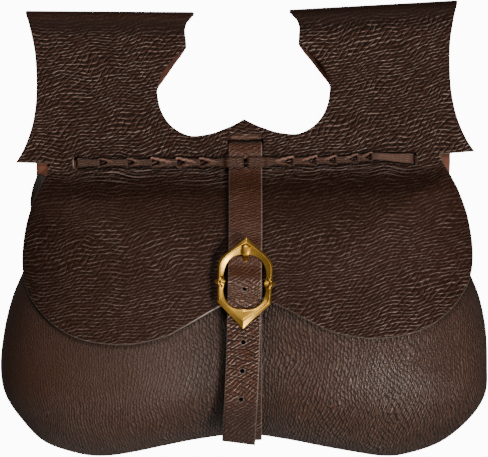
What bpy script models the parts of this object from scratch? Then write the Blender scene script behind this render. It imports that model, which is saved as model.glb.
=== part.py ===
"""A leather belt pouch with a two-lobed flap, belt loops, lacing, a closing strap and a brass buckle.

Metres, +Z up, the front faces -Y. The origin is the middle of the belt's way through the loops.
Every leather piece is cut flat, as an outline with its holes, and then shaped by one function that
takes a point of the flat pattern to its place on the made pouch.
"""
import math

import bmesh
import bpy
import numpy as np
from mathutils import Matrix, Vector
from mathutils.geometry import delaunay_2d_cdt

MM = 0.001

# Leather and gaps
LEATHER = 2.2 * MM            # back, loops and flap
BAG_LEATHER = 2.0 * MM        # front of the bag
STRAP_LEATHER = 1.8 * MM
THONG_LEATHER = 1.3 * MM
GAP = 0.3 * MM                # between pieces that touch

# Widths: the bag's, and how far each wide piece lies inside the one before it
BAG_HALF_WIDTH = 131.3 * MM
FLAP_INSET = 10.6 * MM        # the flap inside the bag
LOOP_INSET = 9.3 * MM         # the waist of the loops' outer edges inside the flap
THONG_INSET = 20.2 * MM       # the lacing's outer slits inside that waist
FLAP_HALF_WIDTH = BAG_HALF_WIDTH - FLAP_INSET
LOOP_HALF_WIDTH = FLAP_HALF_WIDTH - LOOP_INSET
THONG_REACH = LOOP_HALF_WIDTH - THONG_INSET

# Belt loops, cut from the same hide as the back and the flap
FOLD_RADIUS = 4.0 * MM        # inside the fold that the belt lies in
FOLD_TOP = 31.9 * MM          # outside of the fold at the cutout, above the belt's middle
FOLD_RISE = 2.7 * MM          # how much higher the fold is at its outer ends
WING_SPREAD = 12.3 * MM       # how far the wing tips stand out past the waist
CUTOUT_HALF_WIDTH = 46.4 * MM
CUTOUT_DEPTH = 67.3 * MM      # from the fold to the lowest point of the cutout
CUTOUT_SETBACK = 3.4 * MM     # how far the front layer is trimmed back past the back layer's edge
LACING_MARGIN = 14.6 * MM     # leather between the cutout and the lacing line
LACING_DROP = CUTOUT_DEPTH - FOLD_TOP + LACING_MARGIN   # lacing line below the belt's middle
LEAN = math.radians(1.4)      # the loops and the flap hang a little askew on the bag

# Flap
FLAP_DROP = 96.2 * MM         # from the lacing line to the lowest point of a lobe
FLAP_EASE = 1.1 * MM          # air between the bag and the flap that lies on it
FLAP_SIDE_EASE = 8.5 * MM     # more of it where the flap's sides hang free

# Bag
BAG_BELOW_LACING = 6.0 * MM   # where the bag begins under the lacing line
BAG_DROP = 152.2 * MM         # from there to the lowest point of a lobe
BAG_CENTRE = 79.0 * MM        # from its top down to its fullest height
BAG_DEPTH = 45.0 * MM         # how far the front stands out
BACK_BULGE = 6.0 * MM
MOUTH_DROP = 14.0 * MM        # the open edge of the bag's front below the bag's top
TOP_SPREAD = 20.0 * MM        # height over which bag and flap leave the flat top
FULLNESS = 3.0                # how flat the bag's face is before it rounds off
SIDE_ROUND = 0.52             # 0.5 is a quarter round at the seam
TOP_ROUND = 1.1
VALLEY_DEPTH = 5.0 * MM       # dent that the strap pulls between the two lobes
VALLEY_WIDTH = 36.0 * MM

# Closing strap
STRAP_WIDTH = 17.9 * MM
SLOT_ABOVE_LACING = 12.1 * MM
SLOT_DROP = LACING_DROP - SLOT_ABOVE_LACING   # upper edge of the strap's slot below the belt's middle
SLOT_HEIGHT = 7.1 * MM
TAIL_BELOW_LACING = 151.4 * MM
STRAP_TAIL = LACING_DROP + TAIL_BELOW_LACING  # end of the strap below the belt's middle
STRAP_HANG = 11.0 * MM        # how far the hanging end swings back under the buckle
STRAP_ROOT = 6.0 * MM         # hidden end above the slot
HOLE_SPACING = 15.45 * MM
HOLE_RADIUS = 1.5 * MM
HOLES_BELOW = 5
LACE_HOLE = 4.6 * MM          # the strap's own hole at the lacing line
TAIL_SLANT = 2.4 * MM

# Buckle
BUCKLE_BELOW_LACING = 64.5 * MM
BUCKLE_DROP = LACING_DROP + BUCKLE_BELOW_LACING   # centre bar below the belt's middle
BUCKLE_HALF_WIDTH = 14.7 * MM
BUCKLE_RISE = 24.2 * MM       # bar to the upper point
BUCKLE_FALL = 24.9 * MM       # bar to the lower point
WINDOW_HALF_WIDTH = 11.5 * MM
WINDOW_HEIGHT = 15.0 * MM     # of the upper window
LOWER_WINDOW = 14.0 * MM
FRAME_THICKNESS = 2.6 * MM
BAR_RADIUS = 1.1 * MM
KNOB_RADIUS = 1.9 * MM
BUCKLE_LEAN = math.radians(-2.3)
BUCKLE_LIFT = 2.5 * MM        # two straps and the flap's edge lie under the frame
PIN_HOLE_RISE = 9.4 * MM      # hole that the pin is in, above the bar
WAIST = 1.3 * MM              # how far the frame narrows the windows at the bar
PIN_WIDTH = 2.2 * MM
PIN_THICKNESS = 1.4 * MM
PIN_REACH = 20.2 * MM         # bar to the tip
PIN_SLOT = 3.0 * MM           # slot in the buckle strap's turn
WRAP_END = 4.4 * MM           # the buckle strap's turned end below the bar
BACK_RUN = 42.0 * MM          # the buckle strap's way up the back
STRAP_ASIDE = 1.2 * MM        # the buckle strap lies a little to the right

# Lacing
THONG_WIDTH = 5.7 * MM
EYE_LENGTH = 5.2 * MM
EYE_HEIGHT = 1.5 * MM
EYE_RISE = 0.5 * MM           # the thong is double where it passes through itself
SLIT_WIDTH = 2.5 * MM
THONG_RAISE = 2.0 * MM        # the left thong runs up to its outer end

# Mesh fineness
GRID = 11.0 * MM
EDGE_STEP = 7.6 * MM
SMOOTH_STEP = 0.4 * MM        # along a smooth curve before it is thinned out
STRAP_STEP = 13.0 * MM
STRAP_CHORD = 0.35 * MM       # extra room for the straight facets of a strap on the round bag
THONG_STEP = 7.0 * MM
FRAME_STEP = 3.2 * MM
BEND_STEP = math.radians(12.0)

# Outer edge of a loop: how far down from fold to lacing, and share of the wing's spread
LOOP_EDGE = [
    # down, out
    (0.00, 0.415), (0.12, 0.22), (0.26, 0.05), (0.42, 0.00), (0.57, 0.04),
    (0.71, 0.20), (0.82, 0.45), (0.90, 0.71), (0.965, 1.00),
]
# The same edge of the layer behind, which has no wing
BACK_EDGE = [
    # down, out
    (0.00, 0.415), (0.12, 0.20), (0.26, 0.02), (0.45, -0.04), (0.75, -0.02), (1.00, 0.02),
]
# Half of the cutout's outline, shares of its half width and its depth; the corner is the neck's tip
CUTOUT_NECK = [
    # out, down
    (0.552, 0.000), (0.59, 0.045), (0.64, 0.090), (0.665, 0.15), (0.657, 0.21), (0.652, 0.285),
]
CUTOUT_BOWL = [
    # out, down
    (0.652, 0.285), (0.755, 0.350), (0.855, 0.415), (0.927, 0.482), (0.973, 0.548), (1.000, 0.625),
    (0.997, 0.690), (0.970, 0.780), (0.907, 0.868), (0.814, 0.937), (0.698, 0.983), (0.576, 1.000),
    (0.384, 0.978), (0.256, 0.946), (0.122, 0.905), (0.000, 0.858),
]
TRIMMED_SHARE = 0.34          # of the depth, below the neck, where the front layer is trimmed back
# Half of the flap's outline, shares of its half width and its drop below the lacing line
FLAP_EDGE = [
    # out, down
    (0.872, -0.010), (0.913, 0.104), (0.946, 0.194), (0.982, 0.334), (1.000, 0.503), (0.991, 0.643),
    (0.953, 0.758), (0.864, 0.882), (0.743, 0.966), (0.559, 1.000), (0.389, 0.966), (0.291, 0.910),
    (0.136, 0.805), (0.000, 0.735),
]
# The bag's outline, shares of its half width on each side and of its drop
BAG_EDGE = [
    # left, right, down
    (0.845, 0.845, 0.000), (0.868, 0.858, 0.060), (0.874, 0.862, 0.115), (0.858, 0.868, 0.180),
    (0.862, 0.878, 0.250), (0.901, 0.925, 0.340), (0.947, 0.970, 0.435), (0.980, 0.997, 0.550),
    (0.996, 1.003, 0.680), (0.977, 0.995, 0.780), (0.911, 0.930, 0.868), (0.815, 0.812, 0.950),
    (0.670, 0.668, 0.993), (0.560, 0.570, 1.000), (0.440, 0.450, 0.985), (0.330, 0.320, 0.965),
    (0.180, 0.170, 0.940), (0.000, 0.000, 0.922),
]
# The strap's sideways drift on its way down, as shares of its width
STRAP_DRIFT = [
    # down, aside
    (0.00, 0.07), (0.30, 0.075), (0.45, 0.055), (0.70, 0.00), (0.85, -0.06), (1.00, -0.14),
]
# Outer outline of half the buckle frame, shares of its half width and of its rise or fall
FRAME_UPPER = [
    # out, up
    (0.00, 1.00), (0.25, 0.875), (0.505, 0.748), (0.76, 0.617), (0.88, 0.54), (0.965, 0.45), (1.00, 0.34),
    (1.00, 0.00),
]
FRAME_SIDE = [
    # out, down
    (0.985, 0.22), (0.975, 0.43),
]
FRAME_FOOT = [
    # out, down
    (0.975, 0.43), (0.66, 0.61), (0.32, 0.80), (0.00, 1.00),
]
# Eyes of the lacing, shares of the thong's reach
EYES_LEFT = (0.81, 0.66, 0.53, 0.40, 0.245)
EYES_RIGHT = (0.29, 0.43, 0.54, 0.665, 0.75)


def smooth_curve(points, step):
    """Points about one step apart along a smooth curve through the given ones."""
    points = [np.array(p, dtype=float) for p in points]
    ends = [2 * points[0] - points[1]] + points + [2 * points[-1] - points[-2]]
    dense = []
    for a, b, c, d in zip(ends, ends[1:], ends[2:], ends[3:]):
        for t in np.linspace(0.0, 1.0, 13)[:-1]:
            dense.append(0.5 * (2 * b + (c - a) * t + (2 * a - 5 * b + 4 * c - d) * t ** 2
                                + (3 * b - 3 * c + d - a) * t ** 3))
    dense = np.array(dense + [points[-1]])
    run = np.concatenate([[0.0], np.cumsum(np.linalg.norm(np.diff(dense, axis=0), axis=1))])
    count = max(2, int(round(run[-1] / step)) + 1)
    stations = np.linspace(0.0, run[-1], count)
    return np.stack([np.interp(stations, run, dense[:, k]) for k in range(dense.shape[1])], axis=1)


def ramp(value, low, high):
    """0 below low, 1 above high, and smooth between."""
    t = np.clip((value - low) / (high - low), 0.0, 1.0)
    return t * t * (3.0 - 2.0 * t)


# The bag's form: a point's share of the way from its centre to its outline gives the depth there

BAG_TOP = LACING_DROP + BAG_BELOW_LACING


def bag_outline(step):
    left = [(-l * BAG_HALF_WIDTH, -BAG_TOP - d * BAG_DROP) for l, _, d in BAG_EDGE]
    right = [(r * BAG_HALF_WIDTH, -BAG_TOP - d * BAG_DROP) for _, r, d in BAG_EDGE]
    return smooth_curve(left + right[::-1][1:], step)


def bag_reach_table():
    edge = bag_outline(5 * SMOOTH_STEP)
    top = np.linspace(edge[-1], edge[0], 60)[1:-1]
    ring = np.concatenate([edge, top])
    away = ring - np.array([0.0, -BAG_TOP - BAG_CENTRE])
    angle = np.arctan2(away[:, 1], away[:, 0])
    order = np.argsort(angle)
    return angle[order], np.linalg.norm(away, axis=1)[order]


REACH_ANGLE, REACH = bag_reach_table()


def bag_share(x, z, ease=0.0, side_ease=0.0):
    """How far out a point lies between the bag's centre, 0, and its outline, 1; and the angle there."""
    up = z + BAG_TOP + BAG_CENTRE
    angle = np.arctan2(up, x)
    reach = np.interp(angle, REACH_ANGLE, REACH, period=2 * math.pi) + ease + side_ease * np.cos(angle) ** 2
    return np.hypot(x, up) / reach, angle


def puffed(x, z, depth, ease=0.0, side_ease=0.0):
    """A pillow over the bag's outline, dented where the strap crosses it."""
    share, angle = bag_share(x, z, ease, side_ease)
    roundness = SIDE_ROUND + (TOP_ROUND - SIDE_ROUND) * np.clip(np.sin(angle), 0.0, 1.0) ** 1.5
    pillow = np.clip(1.0 - share ** FULLNESS, 0.0, 1.0) ** roundness
    strapped = ramp(-z, BAG_TOP + 0.2 * BAG_DROP, BAG_TOP + 0.45 * BAG_DROP)
    dent = VALLEY_DEPTH * np.exp(-(x / VALLEY_WIDTH) ** 2) * strapped
    return (depth - dent) * pillow


def bag_depth(x, z):
    """How far the outside of the bag's front stands out in front of its seam."""
    return puffed(x, z, BAG_DEPTH) * ramp(-z, BAG_TOP, BAG_TOP + TOP_SPREAD)


def back_bulge(x, z):
    share, _ = bag_share(x, z)
    return BACK_BULGE * np.clip(1.0 - share ** 2, 0.0, 1.0)


def loop_half_gap(z, top):
    """Half of the belt's room between the two layers, from the fold down to the lacing."""
    fold_centre = top - LEATHER - FOLD_RADIUS
    share = np.clip((fold_centre - z) / (fold_centre + LACING_DROP), 0.0, 1.0)
    return GAP / 2 + (FOLD_RADIUS - GAP / 2) * (1.0 - share ** 2)


def fold_top(x):
    inner = CUTOUT_HALF_WIDTH * CUTOUT_NECK[0][0]
    return FOLD_TOP + FOLD_RISE * (np.abs(x) - inner) / (LOOP_HALF_WIDTH - inner)


def flap_depth(x, z, below):
    """How far the middle of the flap's leather stands out; below is the drop on the flap from its top."""
    free = 1.0 - ramp(-z, BAG_TOP + 0.23 * BAG_DROP, BAG_TOP + 0.42 * BAG_DROP)
    stand_out = puffed(x, z, BAG_DEPTH + FLAP_EASE, FLAP_EASE + LEATHER / 2, FLAP_SIDE_EASE * free)
    return stand_out * ramp(below, 0.0, TOP_SPREAD)


MIDDLE_RADIUS = FOLD_RADIUS + LEATHER / 2
HALF_ARC = MIDDLE_RADIUS * math.pi / 2


def along_from_fold(drop):
    """Length along the leather from the fold's crest, for a drop seen from the front."""
    drop = np.maximum(drop - LEATHER / 2, 0.0)
    on_arc = MIDDLE_RADIUS * np.arccos(np.clip(1.0 - drop / MIDDLE_RADIUS, -1.0, 1.0))
    return np.where(drop < MIDDLE_RADIUS, on_arc, HALF_ARC + drop - MIDDLE_RADIUS)


def turned(x, z, angle):
    return x * np.cos(angle) - z * np.sin(angle), z * np.cos(angle) + x * np.sin(angle)


def shape_back_and_flap(flat):
    """Flat pattern to the made pouch: x across, and the length from the fold, plus is the front."""
    x, v = flat[:, 0], flat[:, 1]
    top = fold_top(x)
    centre = top - LEATHER - FOLD_RADIUS
    bend = np.clip(v / MIDDLE_RADIUS, -math.pi / 2, math.pi / 2)
    below = np.maximum(np.abs(v) - HALF_ARC, 0.0)
    z = centre + MIDDLE_RADIUS * np.cos(bend) - below
    front = v > 0
    lean = np.where(front, LEAN, LEAN * ramp(z, -1.2 * LACING_DROP, -0.2 * LACING_DROP))
    world_x, world_z = turned(x, z, lean)
    straight = np.where(below > 0, loop_half_gap(z, top) + LEATHER / 2, MIDDLE_RADIUS * np.abs(np.sin(bend)))
    straight = np.where(z < -LACING_DROP, (GAP + LEATHER) / 2, straight)
    out_front = straight + flap_depth(world_x, world_z, -z - LACING_DROP)
    out_back = straight + back_bulge(world_x, world_z)
    return np.stack([world_x, np.where(front, -out_front, out_back), world_z], axis=1)


# Cutting a flat pattern, shaping it and giving it its thickness

def inside(points, ring):
    x, y = points[:, 0:1], points[:, 1:2]
    ax, ay = ring[:, 0], ring[:, 1]
    bx, by = np.roll(ax, -1), np.roll(ay, -1)
    crosses = (ay > y) != (by > y)
    with np.errstate(divide="ignore", invalid="ignore"):
        at = ax + (y - ay) * (bx - ax) / (by - ay)
    return (np.sum(crosses & (x < at), axis=1) % 2) == 1


def clear_of(points, ring):
    a = ring
    b = np.roll(ring, -1, axis=0)
    span = b - a
    to = points[:, None, :] - a[None]
    share = np.clip(np.sum(to * span, axis=2) / np.maximum(np.sum(span * span, axis=1), 1e-18), 0.0, 1.0)
    return np.min(np.linalg.norm(to - share[..., None] * span, axis=2), axis=1)


def cut_pattern(outline, holes, columns, rows, margin):
    """Triangles over the outline less its holes, with a grid of points inside."""
    grid = np.array([(x, y) for y in rows for x in columns])
    keep = inside(grid, outline) & (clear_of(grid, outline) > margin)
    for hole in holes:
        keep &= ~inside(grid, hole) & (clear_of(grid, hole) > margin * 0.7)
    points = [Vector(p) for ring in [outline] + holes for p in ring]
    edges, start = [], 0
    for ring in [outline] + holes:
        count = len(ring)
        edges += [(start + k, start + (k + 1) % count) for k in range(count)]
        start += count
    points += [Vector(p) for p in grid[keep]]
    verts, _, faces, _, _, _ = delaunay_2d_cdt(points, edges, [], 0, 1e-7)
    verts = np.array([(p.x, p.y) for p in verts])
    middle = np.array([np.mean(verts[list(f)], axis=0) for f in faces])
    wanted = inside(middle, outline)
    for hole in holes:
        wanted &= ~inside(middle, hole)
    return verts, [list(f) for f, w in zip(faces, wanted) if w]


def sheet_normals(flat, shape):
    e = 1e-5
    across = shape(flat + np.array([e, 0.0])) - shape(flat - np.array([e, 0.0]))
    along = shape(flat + np.array([0.0, e])) - shape(flat - np.array([0.0, e]))
    normal = np.cross(across, along)
    return normal / np.linalg.norm(normal, axis=1)[:, None]


def make_sheet(name, material, pattern, shape, thickness):
    """One solid: the pattern's triangles on both faces of the shaped leather, joined by its cut edges."""
    flat, faces = pattern
    middle = shape(flat)
    half = sheet_normals(flat, shape) * thickness / 2
    return shell_between(name, material, middle + half, middle - half, faces)


def make_object(name, material, verts, faces):
    mesh = bpy.data.meshes.new(name)
    bm = bmesh.new()
    made = [bm.verts.new(v) for v in verts]
    for f in faces:
        bm.faces.new([made[k] for k in f])
    loose = [v for v in bm.verts if not v.link_faces]
    bmesh.ops.delete(bm, geom=loose, context="VERTS")
    bmesh.ops.recalc_face_normals(bm, faces=bm.faces)
    bm.to_mesh(mesh)
    bm.free()
    mesh.shade_smooth()
    mesh.set_sharp_from_angle(angle=math.radians(40))
    mesh.materials.append(material)
    thing = bpy.data.objects.new(name, mesh)
    bpy.context.scene.collection.objects.link(thing)
    return thing


def make_material(name, colour, roughness, metallic=0.0):
    material = bpy.data.materials.new(name)
    material.use_nodes = True
    shader = material.node_tree.nodes["Principled BSDF"]
    shader.inputs["Base Color"].default_value = (*colour, 1.0)
    shader.inputs["Roughness"].default_value = roughness
    shader.inputs["Metallic"].default_value = metallic
    return material


# Flat outlines of the back, loops and flap

def loop_edge(table, side, ends):
    """Rows of an edge from the fold down, as flat points; ends picks front (1) or back (-1)."""
    points = []
    for down, out in table:
        x = LOOP_HALF_WIDTH + out * WING_SPREAD
        height = fold_top(x) + LACING_DROP
        points.append((side * x, ends * float(along_from_fold(down * height))))
    return points


def flat_from_height(x, z, ends):
    return (x, ends * float(along_from_fold(fold_top(x) - z)))


def fold_steps(points):
    """A smooth edge that crosses the fold, with short steps round it and long ones beyond."""
    fine = smooth_curve(points, SMOOTH_STEP)
    arc_stop = HALF_ARC * 1.02
    near = np.abs(fine[:, 1]) < arc_stop
    first, last = np.argmax(near), len(near) - 1 - np.argmax(near[::-1])
    upper = smooth_curve(fine[:first + 1], EDGE_STEP)
    arc = smooth_curve(fine[first:last + 1], HALF_ARC / 3)
    lower = smooth_curve(fine[last:], EDGE_STEP)
    return np.concatenate([upper, arc[1:-1], lower])


def mirrored(points):
    return [(-x, y) for x, y in points]


def hide_outline():
    wing = -LACING_DROP + 0.02 * FLAP_DROP
    edge_right = [*reversed(loop_edge(LOOP_EDGE, 1, 1)), *loop_edge(BACK_EDGE, 1, -1)[1:]]
    right = fold_steps(edge_right)
    left = fold_steps(mirrored(edge_right))[::-1]
    flap = [(out * FLAP_HALF_WIDTH, -LACING_DROP - down * FLAP_DROP) for out, down in FLAP_EDGE]
    flap = smooth_curve(flap + mirrored(flap)[::-1][1:], EDGE_STEP)
    flap = [flat_from_height(x, z, 1) for x, z in flap]
    bag = bag_outline(EDGE_STEP)
    bag = [flat_from_height(x, z, -1) for x, z in bag]
    wing_foot = flat_from_height(FLAP_EDGE[0][0] * FLAP_HALF_WIDTH, wing, 1)
    return np.array([*right, *bag[::-1][1:-1], *left, mirrored([wing_foot])[0], *reversed(flap), wing_foot])


def cutout_side(side, ends, setback):
    """Half of the cutout on one layer, from the fold to the middle of its foot."""
    halves = []
    for table in (CUTOUT_NECK, CUTOUT_BOWL):
        points = []
        for out, down in table:
            shoulder = min(1.0, max(0.0, (down - CUTOUT_NECK[-1][1]) / TRIMMED_SHARE))
            x = out * CUTOUT_HALF_WIDTH - setback * math.sin(math.pi * shoulder)
            points.append((side * x, ends * float(along_from_fold(down * CUTOUT_DEPTH))))
        halves.append(points)
    return halves


def cutout_outline():
    neck_f, bowl_f = cutout_side(1, 1, 0.0)
    neck_b, bowl_b = cutout_side(1, -1, CUTOUT_SETBACK)
    neck = fold_steps([*reversed(neck_f), *neck_b[1:]])
    front = smooth_curve(bowl_f, EDGE_STEP * 0.7)
    back = smooth_curve(bowl_b, EDGE_STEP * 0.7)
    right = [*front[::-1][:-1], *neck, *back[1:]]
    return np.array([*right, *mirrored(right)[::-1][1:-1]])


def box_outline(x0, x1, y0, y1):
    return np.array([(x0, y0), (x1, y0), (x1, y1), (x0, y1)])


def thong_slit(side):
    at = side * THONG_REACH
    z = -LACING_DROP
    tall = THONG_WIDTH / 2 + GAP
    low = flat_from_height(at, z - tall, 1)[1]
    high = flat_from_height(at, z + tall + THONG_RAISE * (side < 0), 1)[1]
    return box_outline(at - SLIT_WIDTH / 2, at + SLIT_WIDTH / 2, high, low)


def strap_slot():
    half = STRAP_WIDTH / 2 + 2 * GAP
    high = flat_from_height(0.0, -SLOT_DROP, 1)[1]
    low = flat_from_height(0.0, -SLOT_DROP - SLOT_HEIGHT, 1)[1]
    middle = strap_shift(-SLOT_DROP) - SLOT_DROP * math.sin(LEAN)
    return box_outline(middle - half, middle + half, high, low)


def make_back_and_flap(material):
    outline = hide_outline()
    holes = [cutout_outline(), strap_slot(), thong_slit(-1), thong_slit(1)]
    widest = max(BAG_HALF_WIDTH, FLAP_HALF_WIDTH, LOOP_HALF_WIDTH + WING_SPREAD)
    columns = np.arange(-math.ceil(widest / GRID), math.ceil(widest / GRID) + 1) * GRID
    arc = np.linspace(-HALF_ARC, HALF_ARC, 7)
    straight = HALF_ARC + GRID * np.arange(1, 40) * 0.95
    line = flat_from_height(0.0, -LACING_DROP, 1)[1]
    shelf = np.arange(line - THONG_WIDTH, line + TOP_SPREAD, 0.45 * GRID)
    front = np.concatenate([straight[straight < shelf[0] - 0.3 * GRID], shelf,
                            np.arange(shelf[-1] + 0.7 * GRID, 1.0, 0.95 * GRID)])
    rows = np.concatenate([-straight[::-1], arc, front])
    rows = rows[(rows > outline[:, 1].min()) & (rows < outline[:, 1].max())]
    pattern = cut_pattern(outline, holes, columns, rows, 0.4 * GRID)
    return make_sheet("back_and_flap", material, pattern, shape_back_and_flap, LEATHER)


def make_pouch_front(material):
    """The bag's front: rings from its middle out to the seam and to the open edge of the mouth."""
    seam = bag_outline(EDGE_STEP)
    mouth_line = [seam[-1], (0.6 * seam[-1][0], -BAG_TOP - 0.8 * MOUTH_DROP), (0.0, -BAG_TOP - MOUTH_DROP),
                  (0.6 * seam[0][0], -BAG_TOP - 0.8 * MOUTH_DROP), seam[0]]
    mouth = smooth_curve(mouth_line, GRID)[1:-1]
    edge = np.concatenate([seam, mouth])
    centre = np.array([0.0, -BAG_TOP - BAG_CENTRE])
    ring_count = 10
    flat = [centre]
    for k in range(1, ring_count + 1):
        flat += list(centre + math.sin(0.5 * math.pi * k / ring_count) * (edge - centre))
    flat = np.array(flat)
    sewn = np.zeros(len(flat), dtype=bool)
    last_ring = 1 + (ring_count - 1) * len(edge)
    sewn[last_ring:last_ring + len(seam)] = True
    rim = -GAP / 2
    outer = np.stack([flat[:, 0], rim - np.where(sewn, 0.0, bag_depth(flat[:, 0], flat[:, 1])), flat[:, 1]], 1)
    count = len(edge)
    faces = [(0, 1 + (k + 1) % count, 1 + k) for k in range(count)]
    for ring in range(ring_count - 1):
        low = 1 + ring * count
        for k in range(count):
            n = (k + 1) % count
            faces.append((low + k, low + n, low + count + n, low + count + k))
    normal = vertex_normals(outer, faces)
    normal *= np.sign(-normal[0][1])
    inner = outer - normal * BAG_LEATHER
    inner[sewn, 1] = rim
    inner[:, 1] = np.minimum(inner[:, 1], rim)
    return shell_between("pouch_front", material, outer, inner, faces)


def vertex_normals(verts, faces):
    normal = np.zeros_like(verts)
    for f in faces:
        a, b, c = verts[f[0]], verts[f[1]], verts[f[2]]
        square = np.cross(b - a, c - a)
        if len(f) == 4:
            square = square + np.cross(c - a, verts[f[3]] - a)
        for k in f:
            normal[k] += square
    return normal / np.linalg.norm(normal, axis=1)[:, None]


def shell_between(name, material, outer, inner, faces):
    """One solid between two surfaces of the same faces, closed round their open edge."""
    count = len(outer)
    solid = [tuple(f) for f in faces] + [tuple(v + count for v in reversed(f)) for f in faces]
    rim = {}
    for f in faces:
        for a, b in zip(f, list(f[1:]) + [f[0]]):
            if (b, a) in rim:
                del rim[(b, a)]
            else:
                rim[(a, b)] = True
    solid += [(b, a, a + count, b + count) for a, b in rim]
    return make_object(name, material, np.concatenate([outer, inner]), solid)


# Straps and thongs follow a route; a flat point is (across, along the route)

def follow(route, shift):
    """A shape for a strip: rows of (y, z) give the way of its middle, shift its place across at a height."""
    fine = smooth_curve(route, SMOOTH_STEP)
    run = np.concatenate([[0.0], np.cumsum(np.linalg.norm(np.diff(fine, axis=0), axis=1))])

    def shape(flat):
        across, along = flat[:, 0], flat[:, 1]
        y = np.interp(along, run, fine[:, 0])
        z = np.interp(along, run, fine[:, 1])
        return np.stack([across + shift(z), y, z], axis=1)

    return shape, run, fine


def rows_by_bend(run, fine, longest, sharpest):
    """Places along a route, close together where it bends."""
    heading = np.unwrap(np.arctan2(*np.gradient(fine, axis=0).T))
    rows, last = [], 0
    for k in range(1, len(run) - 1):
        turned_by = abs(heading[k] - heading[last])
        if run[k] - run[last] > longest or (turned_by > sharpest and run[k] - run[last] > 0.06 * longest):
            rows.append(run[k])
            last = k
    if run[-1] - rows[-1] < 0.3 * longest:
        rows.pop()
    return np.array(rows)


def run_at_height(run, fine, z):
    """Length along a route where it first comes down to a height."""
    return float(run[np.argmax(fine[:, 1] <= z)])


def strap_shift(z):
    drop = -SLOT_DROP - z
    whole = STRAP_TAIL - SLOT_DROP
    return STRAP_WIDTH * np.interp(drop / whole, [d for d, _ in STRAP_DRIFT], [a for _, a in STRAP_DRIFT])


def lie(z):
    """Outside of the leather under the straps at a height: the flap, and below its notch the bag."""
    across = np.linspace(-STRAP_WIDTH / 2, STRAP_WIDTH / 2, 5)
    flap_end = -LACING_DROP - FLAP_EDGE[-1][1] * FLAP_DROP
    if z > flap_end - STRAP_LEATHER:
        e = 0.05 * LEATHER
        rise = [flap_depth(across, np.full(5, z + s), -z - s - LACING_DROP).max() for s in (-e, e)]
        slope = (rise[0] - rise[1]) / (2 * e)
        half = LEATHER / 2 * math.sqrt(1.0 + slope ** 2)
        return -(max(rise) + (GAP + LEATHER) / 2 + half)
    return -(GAP / 2 + float(bag_depth(across, np.full(5, z)).max()))


def round_outline(x, y, rx, ry, count=8):
    turn = np.linspace(0.0, 2 * math.pi, count, endpoint=False) + math.pi / count
    return np.stack([x + rx * np.cos(turn), y + ry * np.sin(turn)], axis=1)


def crossed_by(ring, rows):
    """The same outline with a point wherever a row crosses it, so that it can bend there."""
    points = []
    for a, b in zip(ring, np.roll(ring, -1, axis=0)):
        points.append(a)
        low, high = sorted((a[1], b[1]))
        cuts = [(y - a[1]) / (b[1] - a[1]) for y in rows if low + GAP < y < high - GAP]
        points += [a + t * (b - a) for t in sorted(cuts)]
    return np.array(points)


def make_strip(name, material, shape, run, fine, half, holes, thickness, cut=0.0):
    """A strap from its flat strip with holes; cut slants its last end."""
    length = run[-1]
    rows = rows_by_bend(run, fine, STRAP_STEP, BEND_STEP)
    rows = rows[rows < length - cut]
    sides = [(half, y) for y in rows]
    outline = np.array([(-half, 0.0), (half, 0.0), *sides, (half, length), (-half, length - cut),
                        *reversed(mirrored(sides))])
    holes = [crossed_by(hole, rows) for hole in holes]
    pattern = cut_pattern(outline, holes, np.array([-half / 3, half / 3]), rows, 0.2 * half)
    return make_sheet(name, material, pattern, shape, thickness)


BAR_HEIGHT = -BUCKLE_DROP
WRAP_RADIUS = BAR_RADIUS + GAP + STRAP_LEATHER / 2
# Middle of the bar, so far out that the wrapped strap clears the flap
BAR_DEPTH = lie(BAR_HEIGHT) - GAP - STRAP_LEATHER / 2 - WRAP_RADIUS - BUCKLE_LIFT
UNDER_FRAME = BAR_DEPTH + FRAME_THICKNESS / 2 + 1.4 * GAP + STRAP_LEATHER / 2
OVER_BAR = BAR_DEPTH - WRAP_RADIUS - STRAP_LEATHER - GAP


def closing_route():
    """(y, z) from the hidden end in the tunnel, out of the slot, over the flap and through the buckle."""
    rest = GAP + STRAP_LEATHER / 2
    clear = rest + STRAP_CHORD
    slot_foot = -SLOT_DROP - SLOT_HEIGHT
    lip = -loop_half_gap(slot_foot, FOLD_TOP) - LEATHER
    points = [(0.0, -SLOT_DROP + STRAP_ROOT), (0.0, -SLOT_DROP + 0.5 * STRAP_ROOT),
              (-0.02 * rest, -SLOT_DROP + 0.1 * STRAP_ROOT), (-0.2 * rest, -SLOT_DROP - 0.6 * rest),
              (lip - 0.87 * clear, slot_foot + 0.55 * clear), (lip - 1.15 * clear, slot_foot - 1.2 * clear),
              (lie(-LACING_DROP) - 1.06 * clear, -LACING_DROP)]
    upper = BAR_HEIGHT + 1.2 * WINDOW_HEIGHT
    for share in (0.12, 0.25, 0.38, 0.55, 0.72, 0.88):
        z = -LACING_DROP + share * (upper + LACING_DROP)
        points.append(beside_lie(z, clear))
    points += [(UNDER_FRAME + 0.17 * rest, upper), *over_bar_points(0.0)]
    lower = BAR_HEIGHT - BUCKLE_FALL
    points.append((UNDER_FRAME + 0.33 * rest, lower))
    for share, back in ((0.2, 0.13), (0.45, 0.29), (0.7, 0.55), (1.0, 1.0)):
        points.append((UNDER_FRAME + back * STRAP_HANG, lower + share * (-STRAP_TAIL - lower)))
    return points


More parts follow.
